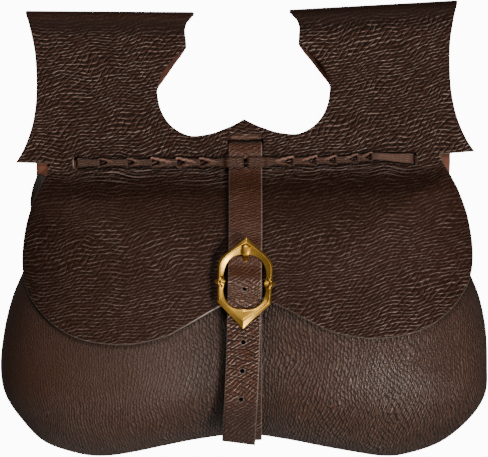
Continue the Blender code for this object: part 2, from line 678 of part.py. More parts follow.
def over_bar_points(behind):
    """The closing strap's way from under the upper frame over the bar to under the lower frame."""
    slope = math.sqrt(0.5)
    reach = BAR_DEPTH - OVER_BAR - behind
    below = [(BAR_DEPTH - reach * math.cos(0.35), BAR_HEIGHT - reach * math.sin(0.35)),
             (BAR_DEPTH - reach * slope, BAR_HEIGHT - reach * slope)]
    inward = UNDER_FRAME + behind - below[-1][0]
    below += [(below[-1][0] + 0.85 * inward, below[-1][1] - 0.85 * inward),
              (UNDER_FRAME + behind, below[-1][1] - 1.25 * inward)]
    above = [(y, 2 * BAR_HEIGHT - z) for y, z in reversed(below)]
    return above + [(OVER_BAR + behind, BAR_HEIGHT)] + below


def beside_lie(z, distance):
    """A point that far off the leather under the straps, square to it."""
    e = SMOOTH_STEP
    along = np.array([lie(z - e) - lie(z + e), -2 * e])
    along /= np.linalg.norm(along)
    return (lie(z) + distance * along[1], z - distance * along[0])


def leaned_at_bar(straight, at):
    """The same shape, leaning with the buckle where the strap goes round its bar."""
    def shape(flat):
        placed = straight(flat)
        near = 1.0 - ramp(np.abs(flat[:, 1] - at), 0.8 * WINDOW_HEIGHT, 2.0 * WINDOW_HEIGHT)
        placed[:, 2] += near * math.tan(BUCKLE_LEAN) * (placed[:, 0] - strap_shift(BAR_HEIGHT))
        return placed

    return shape


PIN_HOLE = BAR_HEIGHT + PIN_HOLE_RISE
PIN_RING = BAR_RADIUS + 0.9 * GAP + PIN_THICKNESS / 2


def make_closing_strap(material):
    straight, run, fine = follow(closing_route(), strap_shift)
    shape = leaned_at_bar(straight, run_at_height(run, fine, BAR_HEIGHT))
    first = run_at_height(run, fine, PIN_HOLE)
    holes = [round_outline(0.0, first, HOLE_RADIUS * 1.15, 2.5 * HOLE_RADIUS)]
    for k in range(1, HOLES_BELOW + 1):
        holes.append(round_outline(0.0, first + k * HOLE_SPACING, HOLE_RADIUS, HOLE_RADIUS))
    lace = run_at_height(run, fine, -LACING_DROP)
    tall = THONG_WIDTH / 2 + 3 * GAP
    holes.append(box_outline(-LACE_HOLE / 2, LACE_HOLE / 2, lace - tall, lace + tall))
    make_strip("closing_strap", material, shape, run, fine, STRAP_WIDTH / 2, holes, STRAP_LEATHER, TAIL_SLANT)


def buckle_strap_route():
    """(y, z) from the turned end behind the bar, round it, down the bag, under it and up the back."""
    points = [(BAR_DEPTH + 1.9 * WRAP_RADIUS, BAR_HEIGHT - WRAP_END),
              (BAR_DEPTH + 1.82 * WRAP_RADIUS, BAR_HEIGHT - 0.36 * WRAP_END),
              (BAR_DEPTH + 1.35 * WRAP_RADIUS, BAR_HEIGHT + 0.06 * WRAP_END)]
    for turn in range(45, 226, 30):
        angle = math.radians(turn)
        points.append((BAR_DEPTH + WRAP_RADIUS * math.cos(angle), BAR_HEIGHT + WRAP_RADIUS * math.sin(angle)))
    apart = STRAP_LEATHER + 1.4 * GAP
    points += over_bar_points(apart)[7:]
    points.append((UNDER_FRAME + apart + GAP, BAR_HEIGHT - 0.7 * BUCKLE_FALL))
    clear = GAP + STRAP_LEATHER / 2 + STRAP_CHORD
    bottom = min(z for x, z in bag_outline(5 * SMOOTH_STEP) if abs(x) < 0.6 * STRAP_WIDTH)
    start = BAR_HEIGHT - 1.4 * BUCKLE_FALL
    for share in (0.0, 0.25, 0.5, 0.72, 0.88, 0.96):
        points.append(beside_lie(start + share * (bottom - start), clear))
    edge = GAP / 2 + LEATHER
    points += [(-0.06 * BAG_DEPTH, bottom - clear), (0.5 * edge, bottom - clear),
               (edge + 0.7 * clear, bottom - 0.7 * clear), (edge + clear, bottom + 0.3 * clear)]
    for up in (0.12, 0.3, 0.55, 0.8, 1.0):
        z = bottom + up * BACK_RUN
        points.append((edge + float(back_bulge(0.0, z)) + clear, z))
    return points


def make_buckle_strap(material):
    straight, run, fine = follow(buckle_strap_route(), lambda z: np.zeros_like(z) + STRAP_ASIDE)
    top = float(run[np.argmax(fine[:, 1])])
    shape = leaned_at_bar(straight, top)
    quarter = WRAP_RADIUS * math.pi / 2
    slot = box_outline(-PIN_SLOT / 2, PIN_SLOT / 2, top - 1.55 * quarter, top + 2.6 * quarter)
    make_strip("buckle_strap", material, shape, run, fine, STRAP_WIDTH / 2, [slot], STRAP_LEATHER)


# The buckle, made round its centre bar and then leaned and set in place

def place_on_bar(thing):
    thing.location = (strap_shift(BAR_HEIGHT), BAR_DEPTH, BAR_HEIGHT)
    thing.rotation_euler = (0.0, -BUCKLE_LEAN, 0.0)


def frame_outer(step):
    upper = [(out * BUCKLE_HALF_WIDTH, up * BUCKLE_RISE) for out, up in FRAME_UPPER]
    side = [(out * BUCKLE_HALF_WIDTH, -down * BUCKLE_FALL) for out, down in FRAME_SIDE]
    foot = [(out * BUCKLE_HALF_WIDTH, -down * BUCKLE_FALL) for out, down in FRAME_FOOT]
    shoulder = smooth_curve(upper[1:] + side, step)
    return np.concatenate([[upper[0]], shoulder, smooth_curve(foot, step)[1:]])


def frame_inner(outer):
    """The windows' edge, one point for each point of the outer edge, at the same turn round the bar."""
    rows = []
    for x, z in outer:
        turn = math.atan2(z, x)
        rise = WINDOW_HEIGHT if z > 0 else LOWER_WINDOW
        c, s = math.cos(turn), math.sin(turn)
        power = 2.6
        reach = (abs(c / WINDOW_HALF_WIDTH) ** power + abs(s / rise) ** power) ** (-1 / power)
        waist = WAIST * math.exp(-(reach * s / (2 * WAIST)) ** 2)
        rows.append(((reach - waist) * c, (reach - waist) * s))
    return np.array(rows)


def make_buckle_frame(material):
    outer = frame_outer(FRAME_STEP)
    inner = frame_inner(outer)
    outer = np.concatenate([outer, [(-x, z) for x, z in outer[-2:0:-1]]])
    inner = np.concatenate([inner, [(-x, z) for x, z in inner[-2:0:-1]]])
    front, back = -FRAME_THICKNESS / 2, FRAME_THICKNESS / 2
    sections = []
    for o, i in zip(outer, inner):
        ridge = o + 0.45 * (i - o)
        sections.append([(o[0], back, o[1]), (o[0], 0.1 * front, o[1]), (ridge[0], front, ridge[1]),
                         (i[0], 0.25 * front, i[1]), (i[0], back, i[1])])
    verts = [p for section in sections for p in section]
    n, m = len(sections), len(sections[0])
    faces = [(k * m + j, k * m + (j + 1) % m, ((k + 1) % n) * m + (j + 1) % m, ((k + 1) % n) * m + j)
             for k in range(n) for j in range(m)]
    frame = make_object("buckle_frame", material, verts, faces)
    bar_end = WINDOW_HALF_WIDTH - WAIST + 2 * BAR_RADIUS
    bm = bmesh.new()
    bmesh.ops.create_cone(bm, cap_ends=True, segments=12, radius1=BAR_RADIUS, radius2=BAR_RADIUS,
                          depth=2 * bar_end, matrix=Matrix.Rotation(math.pi / 2, 4, "Y"))
    join(frame, bm, "bar")
    for side in (-1, 1):
        bm = bmesh.new()
        bmesh.ops.create_uvsphere(bm, u_segments=12, v_segments=8, radius=KNOB_RADIUS,
                                  matrix=Matrix.Translation((side * 0.96 * BUCKLE_HALF_WIDTH, 0.0, 0.0)))
        join(frame, bm, "knob")
    place_on_bar(frame)


def join(thing, bm, name):
    """Fuse a simple solid into a piece."""
    mesh = bpy.data.meshes.new(name)
    bm.to_mesh(mesh)
    bm.free()
    guide = bpy.data.objects.new(name + "_guide", mesh)
    bpy.context.scene.collection.objects.link(guide)
    guide.hide_render = True
    guide.display_type = "WIRE"
    guide.parent = thing
    fuse = thing.modifiers.new(name, "BOOLEAN")
    fuse.operation = "UNION"
    fuse.object = guide


def make_buckle_pin(material):
    """The tongue: flat wire bent round the bar, up behind the strap, out of its hole and on to the frame."""
    route = []
    for turn in range(-60, 181, 24):
        angle = math.radians(turn)
        route.append((-PIN_RING * math.cos(angle), -PIN_RING * math.sin(angle)))
    on_frame = -(FRAME_THICKNESS / 2 + GAP + PIN_THICKNESS / 2)
    out_of_hole = PIN_HOLE - BAR_HEIGHT
    route += [(1.12 * PIN_RING, 0.45 * out_of_hole), (1.1 * PIN_RING, 0.8 * out_of_hole),
              (0.55 * PIN_RING, 1.12 * out_of_hole), (0.6 * on_frame, 1.45 * out_of_hole),
              (on_frame, 1.013 * WINDOW_HEIGHT), (on_frame, PIN_REACH)]
    middle = smooth_curve(route, 0.4 * FRAME_STEP)
    ahead = np.gradient(middle, axis=0)
    ahead /= np.linalg.norm(ahead, axis=1)[:, None]
    sides = 8
    verts, count = [], len(middle)
    for k, (point, along) in enumerate(zip(middle, ahead)):
        narrow = 0.55 if k == count - 1 else 1.0
        for j in range(sides):
            turn = 2 * math.pi * (j + 0.5) / sides
            aside = narrow * PIN_WIDTH / 2 * math.cos(turn)
            off = narrow * PIN_THICKNESS / 2 * math.sin(turn)
            verts.append((aside, point[0] + off * along[1], point[1] - off * along[0]))
    faces = [tuple(range(sides)), tuple((count - 1) * sides + j for j in range(sides))]
    for low in range(0, (count - 1) * sides, sides):
        for j in range(sides):
            n = (j + 1) % sides
            faces.append((low + j, low + n, low + sides + n, low + sides + j))
    place_on_bar(make_object("buckle_pin", material, verts, faces))


# The lacing: a flat thong on each side, pulled through slits in itself

def make_thong(name, material, side, eyes):
    rest = GAP + THONG_LEATHER / 2
    face = -(GAP / 2 + LEATHER)
    _, run, fine = follow(closing_route(), strap_shift)
    crossed = np.abs(fine[:, 1] + LACING_DROP) < 0.7 * THONG_WIDTH
    strap_face = fine[crossed, 0].min() - STRAP_LEATHER / 2
    low, high = face - rest, strap_face - rest
    middle = strap_shift(-LACING_DROP) - LACING_DROP * math.sin(LEAN)
    over = STRAP_WIDTH / 2 + side * middle
    end = LACE_HOLE / 2 - GAP - THONG_LEATHER / 2 + side * middle
    bend = THONG_LEATHER
    route = [(THONG_REACH, face + 0.7 * LEATHER), (THONG_REACH - 0.04 * bend, face + 0.08 * bend),
             (THONG_REACH - 0.38 * bend, low + 0.27 * bend), (THONG_REACH - 1.23 * bend, low)]
    route += [(share * THONG_REACH, low) for share in (0.8, 0.6, 0.4, 0.22)]
    route += [(over + 2.7 * bend, low - 0.15 * (low - high)), (over + 0.46 * bend, high + 0.1 * (low - high)),
              (over - 1.54 * bend, high), (end + 1.23 * bend, high), (end + 0.35 * bend, high + 0.27 * bend),
              (end, high + 0.85 * bend), (end, high + 1.54 * bend)]
    fine = smooth_curve(route, 0.75 * SMOOTH_STEP)
    run = np.concatenate([[0.0], np.cumsum(np.linalg.norm(np.diff(fine, axis=0), axis=1))])
    eye_runs = [float(run[np.argmax(fine[:, 0] <= share * THONG_REACH)]) for share in eyes]

    def shape(flat):
        along, across = flat[:, 0], flat[:, 1]
        x = np.interp(along, run, fine[:, 0])
        y = np.interp(along, run, fine[:, 1])
        for at in eye_runs:
            y = y - EYE_RISE * np.exp(-((along - at) / (0.5 * EYE_LENGTH)) ** 2)
        raise_left = THONG_RAISE * (side < 0) * x / THONG_REACH
        z = -LACING_DROP + across + raise_left
        world_x, world_z = turned(side * x, z, LEAN)
        swell = loop_half_gap(-LACING_DROP + raise_left + THONG_WIDTH / 2, FOLD_TOP) - GAP / 2
        y = y - swell * ramp(x, 1.1 * over, 1.8 * over)
        return np.stack([world_x, y, world_z], axis=1)

    length, half = run[-1], THONG_WIDTH / 2
    stations = rows_by_bend(run, fine, THONG_STEP, BEND_STEP * 1.6)
    upper = [(u, half) for u in stations]
    outline = np.array([(0.0, -half), *[(u, -half) for u, _ in upper], (length, -half), (length, half),
                        *reversed(upper), (0.0, half)])
    holes = [round_outline(at, 0.0, EYE_LENGTH / 2, EYE_HEIGHT / 2, 6) for at in eye_runs]
    pattern = cut_pattern(outline, holes, stations, [-0.5 * half, 0.5 * half], 0.15 * half)
    make_sheet(name, material, pattern, shape, THONG_LEATHER)


def main():
    for thing in list(bpy.data.objects):
        bpy.data.objects.remove(thing)
    hide = make_material("pebbled_hide", (0.045, 0.026, 0.019), 0.45)
    bag_leather = make_material("bag_leather", (0.075, 0.048, 0.038), 0.45)
    strap_leather = make_material("strap_leather", (0.055, 0.03, 0.02), 0.5)
    make_back_and_flap(hide)
    make_pouch_front(bag_leather)
    make_closing_strap(strap_leather)
    make_buckle_strap(strap_leather)
    brass = make_material("brass", (0.62, 0.38, 0.09), 0.3, 1.0)
    make_buckle_frame(brass)
    make_buckle_pin(brass)
    thong = make_material("thong_leather", (0.07, 0.04, 0.028), 0.55)
    make_thong("lacing_left", thong, -1, EYES_LEFT)
    make_thong("lacing_right", thong, 1, EYES_RIGHT)


main()
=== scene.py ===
"""A belt pouch of pebbled brown leather with a two-lobed flap, belt loops, lacing and a brass buckle.

Metres, +Z up, the front faces -Y, and the origin is the middle of the belt's way through the loops.
The sections follow the pouch as it is put together.
"""
import math

import bmesh
import bpy
import numpy as np
from mathutils import Matrix, Vector
from mathutils.geometry import delaunay_2d_cdt


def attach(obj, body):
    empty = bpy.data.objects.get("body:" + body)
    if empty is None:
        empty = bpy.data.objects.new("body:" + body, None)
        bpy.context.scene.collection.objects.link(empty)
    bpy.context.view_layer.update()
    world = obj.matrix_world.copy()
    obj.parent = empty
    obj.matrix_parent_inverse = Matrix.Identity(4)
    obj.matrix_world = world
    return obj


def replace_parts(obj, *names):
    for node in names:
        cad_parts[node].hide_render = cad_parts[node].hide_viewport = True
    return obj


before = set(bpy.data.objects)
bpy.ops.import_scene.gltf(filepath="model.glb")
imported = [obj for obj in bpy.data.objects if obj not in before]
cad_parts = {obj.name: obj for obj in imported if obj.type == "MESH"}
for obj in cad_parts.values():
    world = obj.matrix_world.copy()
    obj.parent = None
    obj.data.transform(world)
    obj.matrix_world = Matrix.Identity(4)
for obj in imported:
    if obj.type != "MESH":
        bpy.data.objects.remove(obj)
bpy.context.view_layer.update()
MM = 0.001

# Studio: the pouch hangs at belt height over a pale floor and in front of a white ground, seen straight
# from the front. One soft light stands low on the right, so the grain is lit from below, a weaker one
# above on the left, and one behind for the views of the back.

PICTURE_WIDTH = 0.2632
MIDDLE_X, MIDDLE_Z = 0.0005, -0.0856
EYE_AWAY = 4.0
LIT_MIDDLE = Vector((0.0, 0.0, -0.09))
FLOOR_DROP = 1.0
FLOOR_RADIUS = 1.1


def put(name, data):
    """An object with its data, in the scene."""
    made = bpy.data.objects.new(name, data)
    bpy.context.scene.collection.objects.link(made)
    return made


camera = put("camera", bpy.data.cameras.new("camera"))
camera.location = (MIDDLE_X, -EYE_AWAY, MIDDLE_Z)
camera.rotation_euler = (math.pi / 2, 0.0, 0.0)
camera.data.sensor_width = 36.0
camera.data.lens = 36.0 * EYE_AWAY / PICTURE_WIDTH
camera.data.clip_end = 50.0
bpy.context.scene.camera = camera


def linear(hex_colour):
    """An sRGB hex value as linear red, green, blue and alpha."""
    values = [int(hex_colour[k:k + 2], 16) / 255 for k in (1, 3, 5)]
    return tuple(v / 12.92 if v <= 0.04045 else ((v + 0.055) / 1.055) ** 2.4 for v in values) + (1.0,)


def feed(tree, node, inputs):
    """Gives a node its inputs: each is a value, another node, or one output of another node."""
    for key, value in inputs.items():
        if isinstance(value, bpy.types.Node):
            value = next(output for output in value.outputs if output.enabled)
        if isinstance(value, bpy.types.NodeSocket):
            tree.links.new(value, node.inputs[key])
        else:
            node.inputs[key].default_value = value


def add(tree, kind, inputs=None, **settings):
    """One shader node with its settings and inputs."""
    made = tree.nodes.new("ShaderNode" + kind)
    for key, value in settings.items():
        setattr(made, key, value)
    feed(tree, made, inputs or {})
    return made


def new_material(name):
    """A material with its node tree and its shader."""
    material = bpy.data.materials.new(name)
    material.use_nodes = True
    return material, material.node_tree, material.node_tree.nodes["Principled BSDF"]


LIGHTS = [
    # name, place, size, watts
    ("key", (1.0, -1.55, -0.8), 0.6, 41.0),
    ("fill", (-0.2, -1.6, 1.05), 0.8, 25.0),
    ("back", (0.0, 1.7, 0.6), 0.8, 22.0),
]
for name, place, size, watts in LIGHTS:
    lamp = bpy.data.lights.new(name, "AREA")
    lamp.shape = "DISK"
    lamp.size = size
    lamp.energy = watts
    holder = put(name, lamp)
    holder.location = place
    holder.rotation_euler = (LIT_MIDDLE - Vector(place)).to_track_quat("-Z", "Y").to_euler()
    holder.visible_camera = False

world = bpy.data.worlds.new("white_studio")
world.use_nodes = True
bpy.context.scene.world = world
sky = world.node_tree
sky.nodes.clear()
seen = add(sky, "LightPath").outputs["Is Camera Ray"]
soft = add(sky, "Background", {"Color": linear("#f2f1ef"), "Strength": 0.12})
ground = add(sky, "Background", {"Color": (1.0, 1.0, 1.0, 1.0), "Strength": 12.0})
add(sky, "OutputWorld", {"Surface": add(sky, "MixShader", {0: seen, 1: soft, 2: ground})})

floor_mesh = bpy.data.meshes.new("floor")
bm = bmesh.new()
bmesh.ops.create_circle(bm, cap_ends=True, segments=96, radius=FLOOR_RADIUS,
                        matrix=Matrix.Translation((0, 0, -FLOOR_DROP)))
bm.to_mesh(floor_mesh)
bm.free()
paper, tree, shader = new_material("matt_white_paper")
feed(tree, shader, {"Base Color": linear("#e9e7e3"), "Roughness": 0.9})
floor_mesh.materials.append(paper)
put("floor", floor_mesh)

# Back, belt loops and flap: one hide of pebble-grained cowhide, 2.2 mm, cut in one piece, folded over
# for the belt, laced together under the loops and hung down in front as the flap. Its edges are raw.

LEATHER = 2.2 * MM
GAP = 0.3 * MM
BAG_HALF_WIDTH = 131.3 * MM
FLAP_HALF_WIDTH = 120.7 * MM
LOOP_HALF_WIDTH = 111.4 * MM
THONG_REACH = 91.2 * MM
FOLD_RADIUS = 4.0 * MM
FOLD_TOP = 31.9 * MM
FOLD_RISE = 2.7 * MM
WING_SPREAD = 12.3 * MM
CUTOUT_HALF_WIDTH = 46.4 * MM
CUTOUT_DEPTH = 67.3 * MM
CUTOUT_SETBACK = 3.4 * MM
LACING_DROP = 50.0 * MM
LEAN = math.radians(1.4)
FLAP_DROP = 96.2 * MM
FLAP_EASE = 1.1 * MM
FLAP_SIDE_EASE = 8.5 * MM
BAG_TOP = LACING_DROP + 6.0 * MM
BAG_DROP = 152.2 * MM
BAG_CENTRE = 79.0 * MM
BAG_DEPTH = 45.0 * MM
BACK_BULGE = 6.0 * MM
TOP_SPREAD = 20.0 * MM
FULLNESS = 3.0
SIDE_ROUND = 0.52
TOP_ROUND = 1.1
VALLEY_DEPTH = 5.0 * MM
VALLEY_WIDTH = 36.0 * MM
STRAP_WIDTH = 17.9 * MM
SLOT_DROP = 37.9 * MM
SLOT_HEIGHT = 7.1 * MM
STRAP_TAIL = 201.4 * MM
BUCKLE_DROP = 114.5 * MM
THONG_WIDTH = 5.7 * MM
THONG_RAISE = 2.0 * MM
SLIT_WIDTH = 2.5 * MM

LOOP_EDGE = [
    # down, out
    (0.00, 0.415), (0.12, 0.22), (0.26, 0.05), (0.42, 0.00), (0.57, 0.04),
    (0.71, 0.20), (0.82, 0.45), (0.90, 0.71), (0.965, 1.00),
]
BACK_EDGE = [
    # down, out
    (0.00, 0.415), (0.12, 0.20), (0.26, 0.02), (0.45, -0.04), (0.75, -0.02), (1.00, 0.02),
]
CUTOUT_NECK = [
    # out, down
    (0.552, 0.000), (0.59, 0.045), (0.64, 0.090), (0.665, 0.15), (0.657, 0.21), (0.652, 0.285),
]
CUTOUT_BOWL = [
    # out, down
    (0.652, 0.285), (0.755, 0.350), (0.855, 0.415), (0.927, 0.482), (0.973, 0.548), (1.000, 0.625),
    (0.997, 0.690), (0.970, 0.780), (0.907, 0.868), (0.814, 0.937), (0.698, 0.983), (0.576, 1.000),
    (0.384, 0.978), (0.256, 0.946), (0.122, 0.905), (0.000, 0.858),
]
FLAP_EDGE = [
    # out, down
    (0.872, -0.010), (0.913, 0.104), (0.946, 0.194), (0.982, 0.334), (1.000, 0.503), (0.991, 0.643),
    (0.953, 0.758), (0.864, 0.882), (0.743, 0.966), (0.559, 1.000), (0.389, 0.966), (0.291, 0.910),
    (0.136, 0.805), (0.000, 0.735),
]
BAG_EDGE = [
    # left, right, down
    (0.845, 0.845, 0.000), (0.868, 0.858, 0.060), (0.874, 0.862, 0.115), (0.858, 0.868, 0.180),
    (0.862, 0.878, 0.250), (0.901, 0.925, 0.340), (0.947, 0.970, 0.435), (0.980, 0.997, 0.550),
    (0.996, 1.003, 0.680), (0.977, 0.995, 0.780), (0.911, 0.930, 0.868), (0.815, 0.812, 0.950),
    (0.670, 0.668, 0.993), (0.560, 0.570, 1.000), (0.440, 0.450, 0.985), (0.330, 0.320, 0.965),
    (0.180, 0.170, 0.940), (0.000, 0.000, 0.922),
]
STRAP_DRIFT = [
    # down, aside
    (0.00, 0.07), (0.30, 0.075), (0.45, 0.055), (0.70, 0.00), (0.85, -0.06), (1.00, -0.14),
]


def run_along(points):
    """Length along a line of points, at each of them."""
    return np.concatenate([[0.0], np.cumsum(np.linalg.norm(np.diff(points, axis=0), axis=1))])


def on_line(points, run, stations):
    """Points on a line, at given lengths along it."""
    return np.stack([np.interp(stations, run, column) for column in points.T], axis=1)


def smooth_curve(points, step):
    """Points about one step apart along a smooth curve through the given ones."""
    points = [np.array(p, dtype=float) for p in points]
    ends = [2 * points[0] - points[1]] + points + [2 * points[-1] - points[-2]]
    dense = []
    for a, b, c, d in zip(ends, ends[1:], ends[2:], ends[3:]):
        for t in np.linspace(0.0, 1.0, 13)[:-1]:
            dense.append(0.5 * (2 * b + (c - a) * t + (2 * a - 5 * b + 4 * c - d) * t ** 2
                                + (3 * b - 3 * c + d - a) * t ** 3))
    dense = np.array(dense + [points[-1]])
    run = run_along(dense)
    return on_line(dense, run, np.linspace(0.0, run[-1], max(2, int(round(run[-1] / step)) + 1)))


def ramp(value, low, high):
    """0 at low, 1 at high, and smooth between; low may be the larger of the two."""
    t = np.clip((value - low) / (high - low), 0.0, 1.0)
    return t * t * (3.0 - 2.0 * t)


def bell(value, middle, width):
    """1 at the middle, and falling smoothly to 0 on both sides of it."""
    return np.exp(-((value - middle) / width) ** 2)


def bag_outline(step):
    left = [(-l * BAG_HALF_WIDTH, -BAG_TOP - d * BAG_DROP) for l, _, d in BAG_EDGE]
    right = [(r * BAG_HALF_WIDTH, -BAG_TOP - d * BAG_DROP) for _, r, d in BAG_EDGE]
    return smooth_curve(left + right[::-1][1:], step)


bag_ring = bag_outline(2.0 * MM)
bag_ring = np.concatenate([bag_ring, np.linspace(bag_ring[-1], bag_ring[0], 60)[1:-1]])
bag_away = bag_ring - np.array([0.0, -BAG_TOP - BAG_CENTRE])
bag_turn = np.arctan2(bag_away[:, 1], bag_away[:, 0])
turn_order = np.argsort(bag_turn)
bag_turn, bag_reach = bag_turn[turn_order], np.linalg.norm(bag_away, axis=1)[turn_order]


def bag_share(x, z, side_ease=0.0, ease=0.0):
    """How far out a point lies between the bag's centre, 0, and its outline, 1; and the angle there."""
    up = z + BAG_TOP + BAG_CENTRE
    angle = np.arctan2(up, x)
    reach = np.interp(angle, bag_turn, bag_reach, period=2 * math.pi) + ease + side_ease * np.cos(angle) ** 2
    return np.hypot(x, up) / reach, angle


def puffed(x, z, depth, ease=0.0, side_ease=0.0):
    """A pillow over the bag's outline, dented where the strap crosses it."""
    share, angle = bag_share(x, z, side_ease, ease)
    roundness = SIDE_ROUND + (TOP_ROUND - SIDE_ROUND) * np.clip(np.sin(angle), 0.0, 1.0) ** 1.5
    pillow = np.clip(1.0 - share ** FULLNESS, 0.0, 1.0) ** roundness
    strapped = ramp(-z, BAG_TOP + 0.2 * BAG_DROP, BAG_TOP + 0.45 * BAG_DROP)
    return (depth - VALLEY_DEPTH * bell(x, 0.0, VALLEY_WIDTH) * strapped) * pillow


def bag_depth(x, z):
    """How far the outside of the bag's front stands out in front of its seam."""
    return puffed(x, z, BAG_DEPTH) * ramp(-z, BAG_TOP, BAG_TOP + TOP_SPREAD)


def back_bulge(x, z):
    share, _ = bag_share(x, z)
    return BACK_BULGE * np.clip(1.0 - share ** 2, 0.0, 1.0)


def loop_half_gap(z, top):
    """Half of the belt's room between the two layers, from the fold down to the lacing."""
    fold_centre = top - LEATHER - FOLD_RADIUS
    share = np.clip((fold_centre - z) / (fold_centre + LACING_DROP), 0.0, 1.0)
    return GAP / 2 + (FOLD_RADIUS - GAP / 2) * (1.0 - share ** 2)


def fold_top(x):
    inner = CUTOUT_HALF_WIDTH * CUTOUT_NECK[0][0]
    return FOLD_TOP + FOLD_RISE * (np.abs(x) - inner) / (LOOP_HALF_WIDTH - inner)


def flap_depth(x, z, below):
    """How far the middle of the flap's leather stands out; below is the drop on the flap from its top."""
    free = ramp(-z, BAG_TOP + 0.42 * BAG_DROP, BAG_TOP + 0.23 * BAG_DROP)
    stand_out = puffed(x, z, BAG_DEPTH + FLAP_EASE, FLAP_EASE + LEATHER / 2, FLAP_SIDE_EASE * free)
    return stand_out * ramp(below, 0.0, TOP_SPREAD)


MIDDLE_RADIUS = FOLD_RADIUS + LEATHER / 2
HALF_ARC = MIDDLE_RADIUS * math.pi / 2


def along_from_fold(drop):
    """Length along the leather from the fold's crest, for a drop seen from the front."""
    drop = np.maximum(drop - LEATHER / 2, 0.0)
    on_arc = MIDDLE_RADIUS * np.arccos(np.clip(1.0 - drop / MIDDLE_RADIUS, -1.0, 1.0))
    return np.where(drop < MIDDLE_RADIUS, on_arc, HALF_ARC + drop - MIDDLE_RADIUS)


def turned(x, z, angle):
    return x * np.cos(angle) - z * np.sin(angle), z * np.cos(angle) + x * np.sin(angle)


def shape_hide(flat):
    """Flat pattern to the made pouch: x across, and the length from the fold, plus is the front."""
    x, v = flat.T
    top = fold_top(x)
    centre = top - LEATHER - FOLD_RADIUS
    bend = np.clip(v / MIDDLE_RADIUS, -math.pi / 2, math.pi / 2)
    below = np.maximum(np.abs(v) - HALF_ARC, 0.0)
    z = centre + MIDDLE_RADIUS * np.cos(bend) - below
    front = v > 0
    lean = np.where(front, LEAN, LEAN * ramp(z, -1.2 * LACING_DROP, -0.2 * LACING_DROP))
    world_x, world_z = turned(x, z, lean)
    straight = np.where(below > 0, loop_half_gap(z, top) + LEATHER / 2, MIDDLE_RADIUS * np.abs(np.sin(bend)))
    straight = np.where(z < -LACING_DROP, (GAP + LEATHER) / 2, straight)
    out_front = straight + flap_depth(world_x, world_z, -z - LACING_DROP)
    out_back = straight + back_bulge(world_x, world_z)
    return np.stack([world_x, np.where(front, -out_front, out_back), world_z], axis=1)


def inside(points, ring):
    """Which points lie inside a closed outline."""
    found = []
    ax, ay = ring.T
    bx, by = np.roll(ax, -1), np.roll(ay, -1)
    for part in np.array_split(points, max(1, len(points) // 4000)):
        x, y = part[:, 0:1], part[:, 1:2]
        crosses = (ay > y) != (by > y)
        with np.errstate(divide="ignore", invalid="ignore"):
            at = ax + (y - ay) * (bx - ax) / (by - ay)
        found.append((np.sum(crosses & (x < at), axis=1) % 2) == 1)
    return np.concatenate(found)


def clear_of(points, ring):
    """Distance from each point to a closed outline."""
    found = []
    span = np.roll(ring, -1, axis=0) - ring
    square = np.maximum(np.sum(span * span, axis=1), 1e-18)
    for part in np.array_split(points, max(1, len(points) // 2000)):
        to = part[:, None, :] - ring[None]
        share = np.clip(np.sum(to * span, axis=2) / square, 0.0, 1.0)
        found.append(np.min(np.linalg.norm(to - share[..., None] * span, axis=2), axis=1))
    return np.concatenate(found)


def drawn_in(ring, distance, step):
    """Points that run round inside an outline at one distance, for the rounding of its cut edge."""
    closed = np.concatenate([ring, ring[:1]])
    run = run_along(closed)
    walk = on_line(closed, run, np.linspace(0.0, run[-1], max(8, int(run[-1] / step)), endpoint=False))
    ahead = np.roll(walk, -1, axis=0) - np.roll(walk, 1, axis=0)
    square = np.stack([ahead[:, 1], -ahead[:, 0]], axis=1) / np.linalg.norm(ahead, axis=1)[:, None]
    both = np.concatenate([walk + distance * square, walk - distance * square])
    return both[clear_of(both, ring) > 0.93 * distance]


def on_leather(points, rings):
    """Which points lie inside the first outline and outside the others, its holes."""
    return np.all([inside(points, rings[0]), *(~inside(points, hole) for hole in rings[1:])], axis=0)


def from_cut(points, rings):
    return np.min([clear_of(points, ring) for ring in rings], axis=0)


def cut_leather(outline, holes, grid, edge=0.45 * MM, step=1.3 * MM):
    """The flat pattern as triangles: its points, its faces, and each point's distance from a cut."""
    rings = [outline] + holes
    border = np.concatenate([drawn_in(ring, away * edge, step) for away in (1.0, 2.6) for ring in rings])
    loose = np.concatenate([border, grid])
    away = from_cut(loose, rings)
    keep = on_leather(loose, rings) & (away > 0.9 * edge)
    keep[len(border):] &= away[len(border):] > 3.4 * edge
    edges, start = [], 0
    for ring in rings:
        edges += [(start + k, start + (k + 1) % len(ring)) for k in range(len(ring))]
        start += len(ring)
    points = [Vector(p) for p in np.concatenate([*rings, loose[keep]])]
    verts, _, faces, _, _, _ = delaunay_2d_cdt(points, edges, [], 0, 1e-7)
    verts = np.array([(p.x, p.y) for p in verts])
    wanted = on_leather(np.array([np.mean(verts[list(f)], axis=0) for f in faces]), rings)
    return verts, [list(f) for f, w in zip(faces, wanted) if w], from_cut(verts, rings)


def staggered(rows, step, half):
    """Points in rows out to half on both sides, each second row half a step aside."""
    reach = int(half / step) + 1
    return [((k + 0.5 * (j % 2)) * step, row) for j, row in enumerate(rows) for k in range(-reach, reach + 1)]


def sheet_normals(flat, shape):
    across, along = (shape(flat + e) - shape(flat - e) for e in 1e-5 * np.eye(2))
    normal = np.cross(across, along)
    return normal / np.linalg.norm(normal, axis=1)[:, None]


def soft_cut(thickness, rim):
    """How far a knife's cut is rounded in at each distance from it."""
    return 0.24 * thickness * np.clip(1.0 - rim / (0.9 * MM), 0.0, 1.0) ** 2


